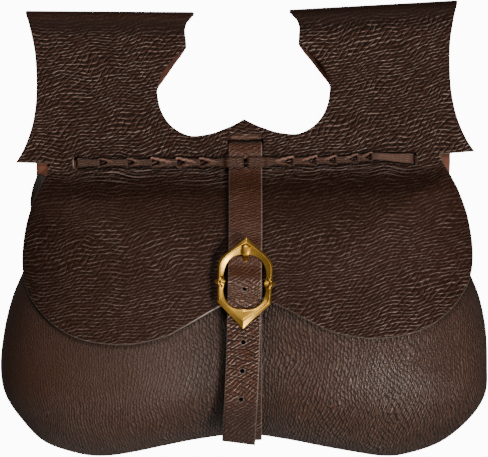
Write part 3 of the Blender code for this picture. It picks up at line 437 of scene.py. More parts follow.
def leather_object(name, skins, faces, sides, laid, marks, materials, crease):
    """A piece of leather from its grain skin and its flesh skin, closed along its sides: one material for
    each, the flat pattern as its map, and marks that the materials read."""
    count = len(skins[0])
    solid = faces + [tuple(v + count for v in reversed(f)) for f in faces]
    solid += [(b, a, a + count, b + count) for a, b in sides]
    mesh = bpy.data.meshes.new(name)
    mesh.from_pydata(np.concatenate(skins).tolist(), [], solid)
    slots = np.repeat([0, 1, 2], [len(faces), len(faces), len(sides)])
    mesh.polygons.foreach_set("material_index", slots.astype(np.int32))
    corner = np.zeros(len(mesh.loops), dtype=np.int32)
    mesh.loops.foreach_get("vertex_index", corner)
    mesh.uv_layers.new(name="flat")
    mesh.uv_layers["flat"].data.foreach_set("uv", np.concatenate([laid, laid])[corner].ravel())
    for label, values in marks.items():
        mesh.attributes.new(label, "FLOAT", "POINT")
        mesh.attributes[label].data.foreach_set("value", np.tile(np.zeros(count) + values, 2))
    bm = bmesh.new()
    bm.from_mesh(mesh)
    bmesh.ops.delete(bm, geom=[v for v in bm.verts if not v.link_faces], context="VERTS")
    bmesh.ops.recalc_face_normals(bm, faces=bm.faces)
    bm.to_mesh(mesh)
    bm.free()
    mesh.shade_smooth()
    mesh.set_sharp_from_angle(angle=math.radians(crease))
    for material in materials:
        mesh.materials.append(material)
    return put(name, mesh)


def make_leather(name, pattern, shape, thickness, materials, rounding=None, face=1, grained=1.0, **marks):
    """A piece cut by a flat pattern and bent to a shape, with rounded edges.
    Its marks: grain is the depth of the wrinkles and of the highlights and shade painted on them, the edge
    mark paints a highlight along the cut's border, raw bares the undyed fibre, the shade mark is painted
    shade that darkens and dulls, or polishes where it is below 0, and pucker draws folds."""
    flat, faces, rim = pattern
    middle = shape(flat)
    normal = face * sheet_normals(flat, shape)
    grain_round, flesh_round = rounding or (soft_cut(thickness, rim),) * 2
    skins = (middle - normal * (thickness / 2 - grain_round)[:, None],
             middle + normal * (thickness / 2 - flesh_round)[:, None])
    borders = {}
    for f in faces:
        for a, b in zip(f, f[1:] + f[:1]):
            if (b, a) in borders:
                del borders[(b, a)]
            else:
                borders[(a, b)] = True
    return leather_object(name, skins, [tuple(reversed(f)) for f in faces], [(b, a) for a, b in borders],
                          flat, {"rim": rim / MM, "grain": grained, **marks}, materials, crease=50)


def loop_edge(table, ends):
    points = []
    for down, out in table:
        x = LOOP_HALF_WIDTH + out * WING_SPREAD
        points.append((x, ends * float(along_from_fold(down * (fold_top(x) + LACING_DROP)))))
    return points


def from_fold(x, z, ends=1):
    """Length from the fold to a height, in front or with ends -1 behind."""
    return ends * float(along_from_fold(fold_top(x) - z))


def mirrored(points):
    return [(-x, y) for x, y in points]


def strap_shift(z):
    drop = -SLOT_DROP - z
    whole = STRAP_TAIL - SLOT_DROP
    return STRAP_WIDTH * np.interp(drop / whole, [d for d, _ in STRAP_DRIFT], [a for _, a in STRAP_DRIFT])


def hide_outline(step):
    wing = -LACING_DROP + 0.02 * FLAP_DROP
    edge_right = [*reversed(loop_edge(LOOP_EDGE, 1)), *loop_edge(BACK_EDGE, -1)[1:]]
    right = smooth_curve(edge_right, step)
    left = smooth_curve(mirrored(edge_right), step)[::-1]
    flap = [(out * FLAP_HALF_WIDTH, -LACING_DROP - down * FLAP_DROP) for out, down in FLAP_EDGE]
    flap = smooth_curve(flap + mirrored(flap)[::-1][1:], step)
    flap = [(x, from_fold(x, z)) for x, z in flap]
    bag = [(x, from_fold(x, z, -1)) for x, z in bag_outline(1.5 * step)]
    foot_x = FLAP_EDGE[0][0] * FLAP_HALF_WIDTH
    foot = (foot_x, from_fold(foot_x, wing))
    return np.array([*right, *bag[::-1][1:-1], *left, mirrored([foot])[0], *reversed(flap), foot])


def cutout_half(ends, setback):
    """Half of the cutout on one layer, from the fold down, with a corner at the neck's tip."""
    halves = []
    for table in (CUTOUT_NECK, CUTOUT_BOWL):
        points = []
        for out, down in table:
            shoulder = min(1.0, max(0.0, (down - CUTOUT_NECK[-1][1]) / 0.34))
            x = out * CUTOUT_HALF_WIDTH - setback * math.sin(math.pi * shoulder)
            points.append((x, ends * float(along_from_fold(down * CUTOUT_DEPTH))))
        halves.append(points)
    return halves


def cutout_outline(step):
    neck_front, bowl_front = cutout_half(1, 0.0)
    neck_back, bowl_back = cutout_half(-1, CUTOUT_SETBACK)
    neck = smooth_curve([*reversed(neck_front), *neck_back[1:]], step)
    front, back = smooth_curve(bowl_front, step), smooth_curve(bowl_back, step)
    right = [*front[::-1][:-1], *neck, *back[1:]]
    return np.array([*right, *mirrored(right)[::-1][1:-1]])


def cut_slot(x0, x1, y0, y1, step=1.0 * MM, corner=0.8 * MM):
    """A slot with rounded ends, as a knife and two punched holes leave it."""
    points = []
    for cx, cy, start in ((x1, y1, 0), (x0, y1, 90), (x0, y0, 180), (x1, y0, 270)):
        sx, sy = math.copysign(corner, cx - (x0 + x1) / 2), math.copysign(corner, cy - (y0 + y1) / 2)
        for k in range(4):
            turn = math.radians(start + 30 * k)
            points.append((cx - sx + corner * math.cos(turn), cy - sy + corner * math.sin(turn)))
    dense = []
    for a, b in zip(np.array(points), np.roll(np.array(points), -1, axis=0)):
        cuts = max(1, int(np.linalg.norm(b - a) / step))
        dense += [a + t * (b - a) for t in np.arange(cuts) / cuts]
    return np.array(dense)


def thong_raise(side, x):
    """How far the thong runs over the lacing's line, x from the middle: the left one climbs to its end and
    the right one has a hump."""
    if side < 0:
        return THONG_RAISE * x / THONG_REACH
    return 0.75 * THONG_RAISE * bell(x, 70 * MM, 11 * MM)


def thong_slit(side):
    at = side * THONG_REACH
    tall = THONG_WIDTH / 2 + GAP
    raised = float(thong_raise(side, THONG_REACH))
    low, high = (from_fold(at, -LACING_DROP + way * tall + raised) for way in (-1, 1))
    return cut_slot(at - SLIT_WIDTH / 2, at + SLIT_WIDTH / 2, high, low, corner=0.49 * SLIT_WIDTH)


strap_middle = strap_shift(-SLOT_DROP) - SLOT_DROP * math.sin(LEAN)
slot_half = STRAP_WIDTH / 2 + 2 * GAP
strap_slot = cut_slot(strap_middle - slot_half, strap_middle + slot_half,
                      from_fold(0.0, -SLOT_DROP), from_fold(0.0, -SLOT_DROP - SLOT_HEIGHT))


def flat_in_mm(tree):
    """The flat pattern's own coordinates in mm, so that grain keeps its real size."""
    flat = add(tree, "UVMap", uv_map="flat")
    return add(tree, "VectorMath", {0: flat, 1: (1000.0, 1000.0, 0.0)}, operation="MULTIPLY")


def hide_material(name, deep, mid, crest, wrinkle, slant, crossing, gloss, relief=0.3, twist=3.4, bright=1.0,
                  rough=0.5, shade="#120703", broken_up=0.3, sharp=0.6):
    """Drum-dyed full-grain cowhide, tumbled until the grain shrinks into rows of fine wrinkles, then waxed.
    Dark folds cross the rows and cut them into pebbles, with painted shade in them; the crests are painted in
    thin pale lines, partly wax rubbed off and partly painted highlight.
    wrinkle is a wrinkle's length and spacing in mm, slant its lean in degrees, and crossing the lean of
    the folds that cross it; broken_up is how much of the folds stays where the grain fades out, and sharp,
    from 0 to 1, how thin they are."""
    material, tree, shader = new_material(name)
    rim, worn, raw, grime, grain, pucker = (
        add(tree, "Attribute", attribute_name=mark).outputs["Fac"]
        for mark in ("rim", "worn", "raw", "grime", "grain", "pucker"))
    mm = flat_in_mm(tree)
    sway, pores, patches = (
        add(tree, "TexNoise", {"Vector": mm, "Scale": scale, "Detail": detail}, noise_dimensions="2D")
        for scale, detail in ((0.035, 1.0), (0.9, 3.0), (0.06, 3.0)))
    swayed = add(tree, "VectorMath", {0: sway.outputs["Color"], 1: (10.0, 10.0, 0.0), 2: mm},
                 operation="MULTIPLY_ADD")
    length, spacing = wrinkle
    wrinkles = (
        # lean, length, spacing, how pale the crests are, how dark the folds are, place in the noise, mark
        (slant, length, spacing, 1.0, 0.65, 0.0, grain),
        (slant + crossing, 0.9 * length, 1.15 * spacing, 0.32, 0.85, 31.0, grain),
        (0.0, 24.0, 2.4, 1.0, 1.0, 77.0, pucker),
    )
    crests, folds, waves = [], [], []
    for lean, long, wide, paler, darker, seed, mark in wrinkles:
        along = add(tree, "Mapping", {"Vector": swayed, "Location": (seed, seed, 0.0),
                                      "Rotation": (0, 0, math.radians(lean)), "Scale": (long, wide, 1.0)},
                    vector_type="TEXTURE")
        broken = add(tree, "TexNoise", {"Vector": along, "Scale": 0.75, "Detail": 1.0},
                     noise_dimensions="2D")
        drawn = (
            # phase, start of the line in the wave, strength, break-up from, to, and least, list
            (0.0, 0.9, paler, 0.38, 0.6, 0.0, crests),
            (-1.7, sharp, darker, 0.3, 0.5, broken_up, folds),
        )
        for phase, start, strength, low, high, least, found in drawn:
            # a wave's length at scale 1 is pi / 10 of its coordinate
            wave = add(tree, "TexWave", {"Vector": along, "Scale": math.pi / 10, "Distortion": twist,
                                         "Detail": 2.0, "Detail Scale": 2.2, "Detail Roughness": 0.5,
                                         "Phase Offset": phase}, bands_direction="Y")
            waves.append(wave.outputs["Fac"])
            line = add(tree, "MapRange", {"Value": waves[-1], 1: start, 2: 1.0, 3: 0.0, 4: strength},
                       interpolation_type="SMOOTHSTEP")
            kept = add(tree, "MapRange", {"Value": broken, 1: low, 2: high, 3: least, 4: 1.0})
            part = add(tree, "Math", {0: line, 1: kept}, operation="MULTIPLY")
            found.append(add(tree, "Math", {0: part, 1: mark}, operation="MULTIPLY"))
    uncut = add(tree, "Math", {0: 1.0, 1: folds[1]}, operation="SUBTRACT")
    pale = add(tree, "Math", {0: crests[0], 1: uncut}, operation="MULTIPLY")
    sunk = folds[0]
    for crest_line, fold_line in zip(crests[1:], folds[1:]):
        pale = add(tree, "Math", {0: pale, 1: crest_line}, operation="MAXIMUM")
        sunk = add(tree, "Math", {0: sunk, 1: fold_line}, operation="MAXIMUM")
    rise = add(tree, "MapRange", {"Value": waves[0], 1: 0.15, 2: 0.85, 3: 0.0, 4: 0.7},
               interpolation_type="SMOOTHSTEP")
    raised = add(tree, "Mix", {0: grain, 2: 0.2, 3: rise})
    dome = add(tree, "Math", {0: pores, 1: 0.9, 2: raised}, operation="MULTIPLY_ADD")
    height = add(tree, "Math", {0: dome, 1: sunk}, operation="SUBTRACT")
    bump = add(tree, "Bump", {"Height": height, "Distance": relief * MM, "Strength": 1.0})
    # the ground is painted lighter on each pebble's dome as painted shading, with a random mottle
    mottle = add(tree, "MapRange", {"Value": pores, 1: 0.3, 2: 0.7, 3: 0.0, 4: 0.4})
    dome_shading_and_mottle = add(tree, "Math", {0: raised, 1: mottle}, operation="ADD")
    blotch = add(tree, "MapRange", {"Value": patches, 1: 0.3, 2: 0.7, 3: 0.5 * bright, 4: bright})
    crest_wear_and_highlight = add(tree, "Math", {0: blotch, 1: pale}, operation="MULTIPLY")
    near = add(tree, "MapRange", {"Value": rim, 1: 0.1, 2: 0.8, 3: 1.0, 4: 0.0})
    border = add(tree, "Math", {0: near, 1: worn}, operation="MULTIPLY")
    layers = (
        # how much of it shows, colour: painted shade in the folds, pale crests of wax wear and painted
        # highlight, painted highlight on the cut border, painted shade, bare fibre
        (sunk, shade), (crest_wear_and_highlight, crest), (border, "#c9b8a8"), (grime, "#0b0503"), (raw, "#a07866"),
    )
    colour = add(tree, "Mix", {0: dome_shading_and_mottle, 6: linear(deep), 7: linear(mid)}, data_type="RGBA")
    for share, over in layers:
        colour = add(tree, "Mix", {0: share, 6: colour, 7: linear(over)}, data_type="RGBA")
    # wax lies thin and dull in the folds and shines on the crests
    waxy = add(tree, "Math", {0: sunk, 1: crest_wear_and_highlight}, operation="SUBTRACT")
    dull = add(tree, "Math", {0: grime, 1: 0.4, 2: waxy}, operation="MULTIPLY_ADD")
    sheen = add(tree, "MapRange", {"Value": dull, 1: -1.0, 2: 1.0, 3: rough - 0.14, 4: rough + 0.4})
    feed(tree, shader, {"Base Color": colour, "Roughness": sheen, "Normal": bump, "IOR": 1.5,
                        "Specular IOR Level": gloss})
    return material


def flesh_material(name, mid, dark):
    """The hide's flesh side: dyed through, napped and matt, so it shows redder than the waxed grain."""
    material, tree, shader = new_material(name)
    mm = flat_in_mm(tree)
    nap = add(tree, "TexNoise", {"Vector": mm, "Scale": 1.4, "Detail": 4.0}, noise_dimensions="2D")
    blot = add(tree, "TexNoise", {"Vector": mm, "Scale": 0.08, "Detail": 2.0}, noise_dimensions="2D")
    both = add(tree, "Math", {0: nap, 1: 0.5, 2: blot}, operation="MULTIPLY_ADD")
    share = add(tree, "MapRange", {"Value": both, 1: 0.5, 2: 1.0})
    colour = add(tree, "Mix", {0: share, 6: linear(dark), 7: linear(mid)}, data_type="RGBA")
    bump = add(tree, "Bump", {"Height": nap, "Distance": 0.15 * MM, "Strength": 1.0})
    feed(tree, shader, {"Base Color": colour, "Normal": bump, "Roughness": 0.85, "Sheen Weight": 0.2,
                        "Sheen Roughness": 0.6})
    return material


# each hide's third colour is its crests' wax wear and painted highlight, and shade is its folds' painted
# shade
hide_grain = hide_material("wrinkled_hide_grain", "#180a05", "#41281d", "#917c71", (3.5, 1.9), -8, -38,
                           gloss=0.09, twist=2.9)
hide_flesh = flesh_material("hide_flesh_side", "#743b1e", "#3b1b0d")
cut_edge = flesh_material("dyed_cut_edge", "#2e1a10", "#110906")


def painted_strap_shadow(x, z):
    """Painted shadow that the strap and the buckle cast on the leather, most on their left, 0 to 1."""
    aside = x - strap_shift(z)
    along = 0.85 * bell(aside, -0.5 * STRAP_WIDTH - 0.6 * MM, 1.5 * MM) \
        + 0.45 * bell(aside, 0.5 * STRAP_WIDTH + 0.2 * MM, 1.2 * MM)
    from_buckle = np.hypot((x + 1.0 * MM) / (16.5 * MM), (z + BUCKLE_DROP) / (25.5 * MM))
    painted_buckle_shadow = 0.6 * bell(from_buckle, 1.0, 0.1) * (0.55 - 0.45 * np.sign(x))
    return np.maximum(painted_buckle_shadow, along * ramp(-z, LACING_DROP + 2 * MM, LACING_DROP + 5 * MM))


FINE, COARSE = 1.5 * MM, 3.2 * MM
outline = hide_outline(1.3 * MM)
half = outline[:, 0].max()
grid = staggered(np.arange(-HALF_ARC, outline[:, 1].max(), FINE), FINE, half)
grid += staggered(np.arange(outline[:, 1].min(), -HALF_ARC, COARSE), COARSE, half)
hide_holes = [cutout_outline(1.2 * MM), strap_slot, thong_slit(-1), thong_slit(1)]
pattern = cut_leather(outline, hide_holes, np.array(grid))
flat, _, rim = pattern
across, along = flat.T
placed = shape_hide(flat)
on_right = across > 0
top_line = from_fold(0.0, -LACING_DROP)
below_lacing = (along - top_line) / MM
# a painted highlight lightens the flap's cut edge, most left of the strap, and the lip beyond the left slit
worn = np.where(along > top_line, 0.16 + 0.84 * bell(across, -17 * MM, 14 * MM), 0.0)
slit_lip = (across < -THONG_REACH) & (across > -THONG_REACH - 4 * MM) & (along > 0)
from_slit = along - from_fold(-THONG_REACH, -LACING_DROP + THONG_RAISE)
lip_worn = 0.5 * np.clip(1.0 - (from_slit / (3.2 * MM)) ** 2, 0.0, 1.0)
worn = np.where(slit_lip, np.maximum(worn, lip_worn), worn)
# round the bag the border is a turned seam and well rounded, and elsewhere it is cut
on_bag = along < -along_from_fold(FOLD_TOP + BAG_TOP)
turning = np.clip(1.0 - rim / (5.0 * MM), 0.0, 1.0)
seam_round = np.where(on_bag, 0.92 * LEATHER * (1.0 - np.sqrt(1.0 - turning ** 2)), 0.0)
soft_edge = soft_cut(LEATHER, rim)
# the fold and the top of the flap are pulled smooth, and the grain deepens down to the flap's edge
pulled = 0.9 * ramp(np.abs(along), HALF_ARC + (9 - 4 * on_right) * MM, HALF_ARC - 2 * MM * on_right)
pulled += 0.5 * ramp(below_lacing, 8.0, 16.0) * ramp(below_lacing, 42.0, 26.0)
lower_right = ramp(across, 10 * MM, 60 * MM) * ramp(below_lacing, 50.0, 85.0)
grained = (1.0 - pulled) * (1.0 - ramp(below_lacing, 0.0, 12.0) * (0.42 - 0.3 * lower_right))
# the lacing gathers the leather under it into long low folds
puckered = ramp(below_lacing, 2.0, 5.0) * ramp(below_lacing, 17.0, 9.0) \
    * ramp(np.abs(across), 1.15 * THONG_REACH, 0.8 * THONG_REACH)
# painted shadow along the thongs, above and below them, and painted shade at the fold's foot
raised = np.where(on_right, thong_raise(1, across), thong_raise(-1, -across))
off_thong = np.abs(along - along_from_fold(fold_top(across) + LACING_DROP - raised))
painted_thong_shadow = 0.8 * bell(off_thong, 2.6 * MM, 1.0 * MM) * (np.abs(across) < THONG_REACH)
painted_fold_shade = 0.45 * ramp(along, HALF_ARC + 10 * MM, HALF_ARC + 3 * MM) \
    * ramp(along / HALF_ARC, np.where(on_right, 0.1, 0.6), np.where(on_right, 0.5, 1.1))
shade_and_polish_marks = np.maximum.reduce([painted_thong_shadow, painted_fold_shade, painted_strap_shadow(placed[:, 0], placed[:, 2])])
shade_and_polish_marks = np.where(placed[:, 1] < 0, shade_and_polish_marks, 0.0)
# the slot's upper edge is drawn out and shows its undyed fibre
bare = 0.3 * bell(from_fold(0.0, -SLOT_DROP) - along, 1.3 * MM, 0.9 * MM) \
    * ramp(np.abs(across - strap_middle), 0.95 * slot_half, 0.6 * slot_half)
back_and_flap = make_leather("back_and_flap_leather", pattern, shape_hide, LEATHER,
                             (hide_grain, hide_flesh, cut_edge), worn=worn, grained=grained, pucker=puckered,
                             grime=shade_and_polish_marks, raw=bare,
                             rounding=(np.maximum(seam_round, soft_edge), np.where(on_bag, 0.0, soft_edge)))
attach(back_and_flap, "root")
width, length = np.ptp(outline, axis=0)
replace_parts(back_and_flap, "back_and_flap")

# Front of the bag: one piece of the same hide, wetted and stretched over a form, so its grain is finer
# and runs in streaks. It is sewn to the back inside out and turned, so no stitch shows.

BAG_LEATHER = 2.0 * MM
MOUTH_DROP = 14.0 * MM
RINGS = 74

seam = bag_outline(2.2 * MM)
mouth_side = -BAG_TOP - 0.8 * MOUTH_DROP
mouth = smooth_curve([seam[-1], (0.6 * seam[-1][0], mouth_side), (0.0, -BAG_TOP - MOUTH_DROP),
                      (0.6 * seam[0][0], mouth_side), seam[0]], 3.0 * MM)[1:-1]
edge = np.concatenate([seam, mouth])
centre = np.array([0.0, -BAG_TOP - BAG_CENTRE])
flat = np.array([centre] + [p for k in range(1, RINGS + 1)
                            for p in centre + math.sin(0.5 * math.pi * k / RINGS) * (edge - centre)])
count = len(edge)
rim_start = 1 + (RINGS - 1) * count
sewn = np.zeros(len(flat), dtype=bool)
sewn[rim_start:rim_start + len(seam)] = True
x, z = flat.T
depth = bag_depth(x, z)
outer = np.stack([x, -GAP / 2 - np.where(sewn, 0.0, depth), z], axis=1)
faces = [(0, 1 + (k + 1) % count, 1 + k) for k in range(count)]
for low in range(1, rim_start, count):
    faces += [(low + k, low + (k + 1) % count, low + count + (k + 1) % count, low + count + k)
              for k in range(count)]
sides = [(rim_start + k, rim_start + (k + 1) % count) for k in range(count)]
normal = np.zeros_like(outer)
for f in faces:
    a, b, c, d = (outer[f[k]] for k in (0, 1, 2, len(f) - 1))
    square = np.cross(b - a, c - a) + (np.cross(c - a, d - a) if len(f) == 4 else 0.0)
    normal[list(f)] += square
normal /= np.linalg.norm(normal, axis=1)[:, None]
normal *= np.sign(-normal[0][1])
inner = outer - normal * BAG_LEATHER
inner[sewn, 1] = -GAP / 2
inner[:, 1] = np.minimum(inner[:, 1], -GAP / 2)
# the streaks lean to the right on their way down, most under the middle of each lobe
down = np.clip((-BAG_TOP - 0.5 * BAG_DROP - z) / (0.5 * BAG_DROP), 0.0, 1.0)
grain_u = x + 0.125 * BAG_DROP * down ** 1.5 + 0.8 * (BAG_DEPTH - depth) * x / BAG_HALF_WIDTH
# the grain is stretched out on the left and stays deep on the right and round the bottom
deep_grain = 0.3 + 0.6 * ramp(x, -20 * MM, 60 * MM) + 0.7 * ramp(-z, 168 * MM, 196 * MM) \
    + 0.7 * bell(x, 0.0, 28 * MM)
# painted shade on the bag: the flap's painted shadow below its edge, darker down the middle by the strap,
# towards the seam and in the mouth
out, down = np.array(sorted(p for p in FLAP_EDGE if p[1] > 0.6)).T
flap_foot = -LACING_DROP - FLAP_DROP * np.interp(np.abs(x) / FLAP_HALF_WIDTH, out, down)
painted_flap_shadow = 0.45 * np.exp(-np.clip(flap_foot - z, 0.0, None) / (5 * MM)) * (z < flap_foot + 3 * MM)
painted_shade_by_strap = 0.3 * np.exp(-(x / (30 * MM)) ** 4)
painted_seam_shade = 0.25 * ramp(bag_share(x, z)[0], 0.78, 0.98)
painted_mouth_shade = 0.9 * ramp(-z, BAG_TOP + 28 * MM, BAG_TOP + 6 * MM)
# the right lobe bulges most and is rubbed glossy
rubbed = 1.5 * bell(x, 72 * MM, 34 * MM) * bell(z, -160 * MM, 24 * MM)
shade_and_polish_marks = np.maximum.reduce([painted_mouth_shade, painted_flap_shadow, painted_shade_by_strap, painted_seam_shade, painted_strap_shadow(x, z)]) - rubbed
bag_grain = hide_material("stretched_hide_grain", "#341d10", "#472b1c", "#84695a", (3.2, 1.8), 97, 36,
                          gloss=0.36, twist=4.0, bright=0.5, rough=0.34, shade="#0d0502", broken_up=0.1,
                          sharp=0.74)
pouch_front = leather_object("pouch_front_leather", (outer, inner), faces, sides,
                             np.stack([grain_u, z + 0.35 * depth], axis=1),
                             {"rim": 12.0, "grain": deep_grain, "grime": shade_and_polish_marks},
                             (bag_grain, hide_flesh, cut_edge), crease=60)
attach(pouch_front, "root")
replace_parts(pouch_front, "pouch_front")

# Closing strap: split cowhide strap, 18 mm by 1.8 mm. It comes out of the slot, goes under the lacing,
# over the flap, through the buckle and hangs free; its holes are punched and its end is cut askew.

STRAP_LEATHER = 1.8 * MM
BUCKLE_HALF_WIDTH = 14.7 * MM
BUCKLE_RISE = 24.2 * MM
BUCKLE_FALL = 24.9 * MM
WINDOW_HALF_WIDTH = 11.5 * MM
WINDOW_HEIGHT = 15.0 * MM
LOWER_WINDOW = 14.0 * MM
FRAME_THICKNESS = 2.6 * MM
BAR_RADIUS = 1.1 * MM
BUCKLE_LEAN = math.radians(-2.3)
BUCKLE_LIFT = 2.5 * MM
PIN_HOLE_RISE = 9.4 * MM
STRAP_HANG = 11.0 * MM
STRAP_ROOT = 6.0 * MM
HOLE_SPACING = 15.45 * MM
HOLE_RADIUS = 1.5 * MM
STRAP_CHORD = 0.35 * MM
LACE_HOLE = 4.6 * MM


def follow(route, shift):
    """A shape for a strip: rows of (y, z) give the way of its middle, shift its place across at a height."""
    fine = smooth_curve(route, 0.3 * MM)
    run = run_along(fine)

    def shape(flat):
        y, z = on_line(fine, run, flat[:, 1]).T
        return np.stack([flat[:, 0] + shift(z), y, z], axis=1)

    return shape, run, fine


def reached(run, values, low):
    """Length along a route at which its values first fall to low."""
    return float(run[np.argmax(values <= low)])


def lie(z):
    """Outside of the leather under the straps at a height: the flap, and below its notch the bag."""
    across = np.linspace(-STRAP_WIDTH / 2, STRAP_WIDTH / 2, 5)
    if z > -LACING_DROP - FLAP_EDGE[-1][1] * FLAP_DROP - STRAP_LEATHER:
        e = 0.05 * LEATHER
        rise = [flap_depth(across, np.full(5, z + s), -z - s - LACING_DROP).max() for s in (-e, e)]
        half = LEATHER / 2 * math.sqrt(1.0 + ((rise[0] - rise[1]) / (2 * e)) ** 2)
        return -(max(rise) + (GAP + LEATHER) / 2 + half)
    return -(GAP / 2 + float(bag_depth(across, np.full(5, z)).max()))


def beside_lie(z, distance):
    e = 0.4 * MM
    along = np.array([lie(z - e) - lie(z + e), -2 * e])
    along /= np.linalg.norm(along)
    return (lie(z) + distance * along[1], z - distance * along[0])


BAR_HEIGHT = -BUCKLE_DROP
WRAP_RADIUS = BAR_RADIUS + GAP + STRAP_LEATHER / 2
BAR_DEPTH = lie(BAR_HEIGHT) - GAP - STRAP_LEATHER / 2 - WRAP_RADIUS - BUCKLE_LIFT
UNDER_FRAME = BAR_DEPTH + FRAME_THICKNESS / 2 + 1.4 * GAP + STRAP_LEATHER / 2
OVER_BAR = BAR_DEPTH - WRAP_RADIUS - STRAP_LEATHER - GAP


def over_bar_points(behind):
    """The closing strap's way from under the upper frame over the bar to under the lower frame."""
    slope = math.sqrt(0.5)
    reach = BAR_DEPTH - OVER_BAR - behind
    below = [(BAR_DEPTH - reach * math.cos(0.35), BAR_HEIGHT - reach * math.sin(0.35)),
             (BAR_DEPTH - reach * slope, BAR_HEIGHT - reach * slope)]
    inward = UNDER_FRAME + behind - below[-1][0]
    below += [(below[-1][0] + 0.85 * inward, below[-1][1] - 0.85 * inward),
              (UNDER_FRAME + behind, below[-1][1] - 1.25 * inward)]
    above = [(y, 2 * BAR_HEIGHT - z) for y, z in reversed(below)]
    return above + [(OVER_BAR + behind, BAR_HEIGHT)] + below


def closing_route():
    rest = GAP + STRAP_LEATHER / 2
    clear = rest + STRAP_CHORD
    slot_foot = -SLOT_DROP - SLOT_HEIGHT
    lip = -loop_half_gap(slot_foot, FOLD_TOP) - LEATHER
    points = [(0.0, -SLOT_DROP + STRAP_ROOT), (0.0, -SLOT_DROP + 0.5 * STRAP_ROOT),
              (-0.02 * rest, -SLOT_DROP + 0.1 * STRAP_ROOT), (-0.2 * rest, -SLOT_DROP - 0.6 * rest),
              (lip - 0.87 * clear, slot_foot + 0.55 * clear), (lip - 1.15 * clear, slot_foot - 1.2 * clear),
              (lie(-LACING_DROP) - 1.06 * clear, -LACING_DROP)]
    upper = BAR_HEIGHT + 1.2 * WINDOW_HEIGHT
    for share in (0.12, 0.25, 0.38, 0.55, 0.72, 0.88):
        points.append(beside_lie(-LACING_DROP + share * (upper + LACING_DROP), clear))
    points += [(UNDER_FRAME + 0.17 * rest, upper), *over_bar_points(0.0)]
    lower = BAR_HEIGHT - BUCKLE_FALL
    points.append((UNDER_FRAME + 0.33 * rest, lower))
    for share, back in ((0.2, 0.13), (0.45, 0.29), (0.7, 0.55), (1.0, 1.0)):
        points.append((UNDER_FRAME + back * STRAP_HANG, lower + share * (-STRAP_TAIL - lower)))
    return points


def leaned_at_bar(straight, at):
    """The same shape, leaning with the buckle where the strap goes round its bar."""
    def shape(flat):
        placed = straight(flat)
        near = ramp(np.abs(flat[:, 1] - at), 2.0 * WINDOW_HEIGHT, 0.8 * WINDOW_HEIGHT)
        placed[:, 2] += near * math.tan(BUCKLE_LEAN) * (placed[:, 0] - strap_shift(BAR_HEIGHT))
        return placed

    return shape


def punched(x, y, rx, ry):
    turn = np.linspace(0.0, 2 * math.pi, 24, endpoint=False)
    return np.stack([x + rx * np.cos(turn), y + ry * np.sin(turn)], axis=1)


def strip_pattern(length, cut, holes, step):
    """A strap's flat pattern; cut is how much shorter its left side is."""
    half = STRAP_WIDTH / 2
    right = [(half, y) for y in np.linspace(0.0, length, int(length / step))]
    left = [(-half, y) for y in np.linspace(length - cut, 0.0, int(length / step))]
    end = [(half * (1.0 - 2.0 * t), length - cut * t) for t in np.linspace(0.0, 1.0, 14)[1:-1]]
    start = [(half * t, 0.0) for t in np.linspace(-1.0, 1.0, 14)[1:-1]]
    grid = staggered(step * np.arange(int(length / step) + 1), step, half)
    return cut_leather(np.array(right + end + left + start), holes, np.array(grid), edge=0.35 * MM, step=step)


strap_grain = hide_material("waxed_strap_grain", "#2a140a", "#5c321c", "#b89d8a", (3.2, 1.7), -36, 52,
                            gloss=0.25, relief=0.45, twist=3.8, bright=0.9, rough=0.32, shade="#170a05")
straight, run, fine = follow(closing_route(), strap_shift)
bar_run, hole_run, lace_run, slot_run = (
    reached(run, fine[:, 1], z) for z in (BAR_HEIGHT, BAR_HEIGHT + PIN_HOLE_RISE, -LACING_DROP, -SLOT_DROP))
small = 0.85 * HOLE_RADIUS
holes = [punched(0.0, hole_run - 2.4 * HOLE_RADIUS, HOLE_RADIUS, 1.1 * HOLE_RADIUS)]
holes += [punched(0.0, hole_run + k * HOLE_SPACING, small, small) for k in range(1, 6)]
tall = THONG_WIDTH / 2 - GAP
holes.append(cut_slot(-LACE_HOLE / 2, LACE_HOLE / 2, lace_run - tall, lace_run + tall, corner=0.9 * MM))
pattern = strip_pattern(run[-1], 2.4 * MM, holes, 0.9 * MM)
across, along = pattern[0].T
# where the strap bends over the bar it is rubbed glossy too, and its wrinkles' painted highlights and shade
# are made stronger
over_bar = ramp(along, bar_run - 2 * MM, bar_run + 1 * MM) * ramp(along, bar_run + 17 * MM, bar_run + 13 * MM)
grained = 0.3 + 0.9 * ramp(along, bar_run - 4 * MM, bar_run + 4 * MM) + 1.1 * over_bar \
    - 0.75 * ramp(along, bar_run + 40 * MM, run[-1] - 12 * MM)
# painted shade where the strap comes out of the slot and towards its hanging end, where its grain and its
# painted highlights also fade; over the bar it goes below 0 and polishes; a painted highlight lies along its
# cut edges, most on the right
shade_and_polish_marks = 0.85 * ramp(along, slot_run + 4.5 * MM, slot_run + 0.8 * MM) \
    + 0.6 * ramp(along, run[-1] - 36 * MM, run[-1] - 12 * MM) - 1.75 * over_bar
strap = make_leather("closing_strap_leather", pattern, leaned_at_bar(straight, bar_run), STRAP_LEATHER,
                     (strap_grain, hide_flesh, cut_edge), grained=grained, grime=shade_and_polish_marks, raw=0.18 * over_bar,
                     worn=np.where(across > 0, 0.25, 0.12))
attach(strap, "root")
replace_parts(strap, "closing_strap")

# Buckle strap: the same strap leather, folded round the buckle's bar with a slot for the pin. It runs
# down the bag behind the closing strap, round the bottom and a little way up the back.

BACK_RUN = 42.0 * MM
WRAP_END = 4.4 * MM
PIN_SLOT = 3.0 * MM
STRAP_ASIDE = 1.2 * MM


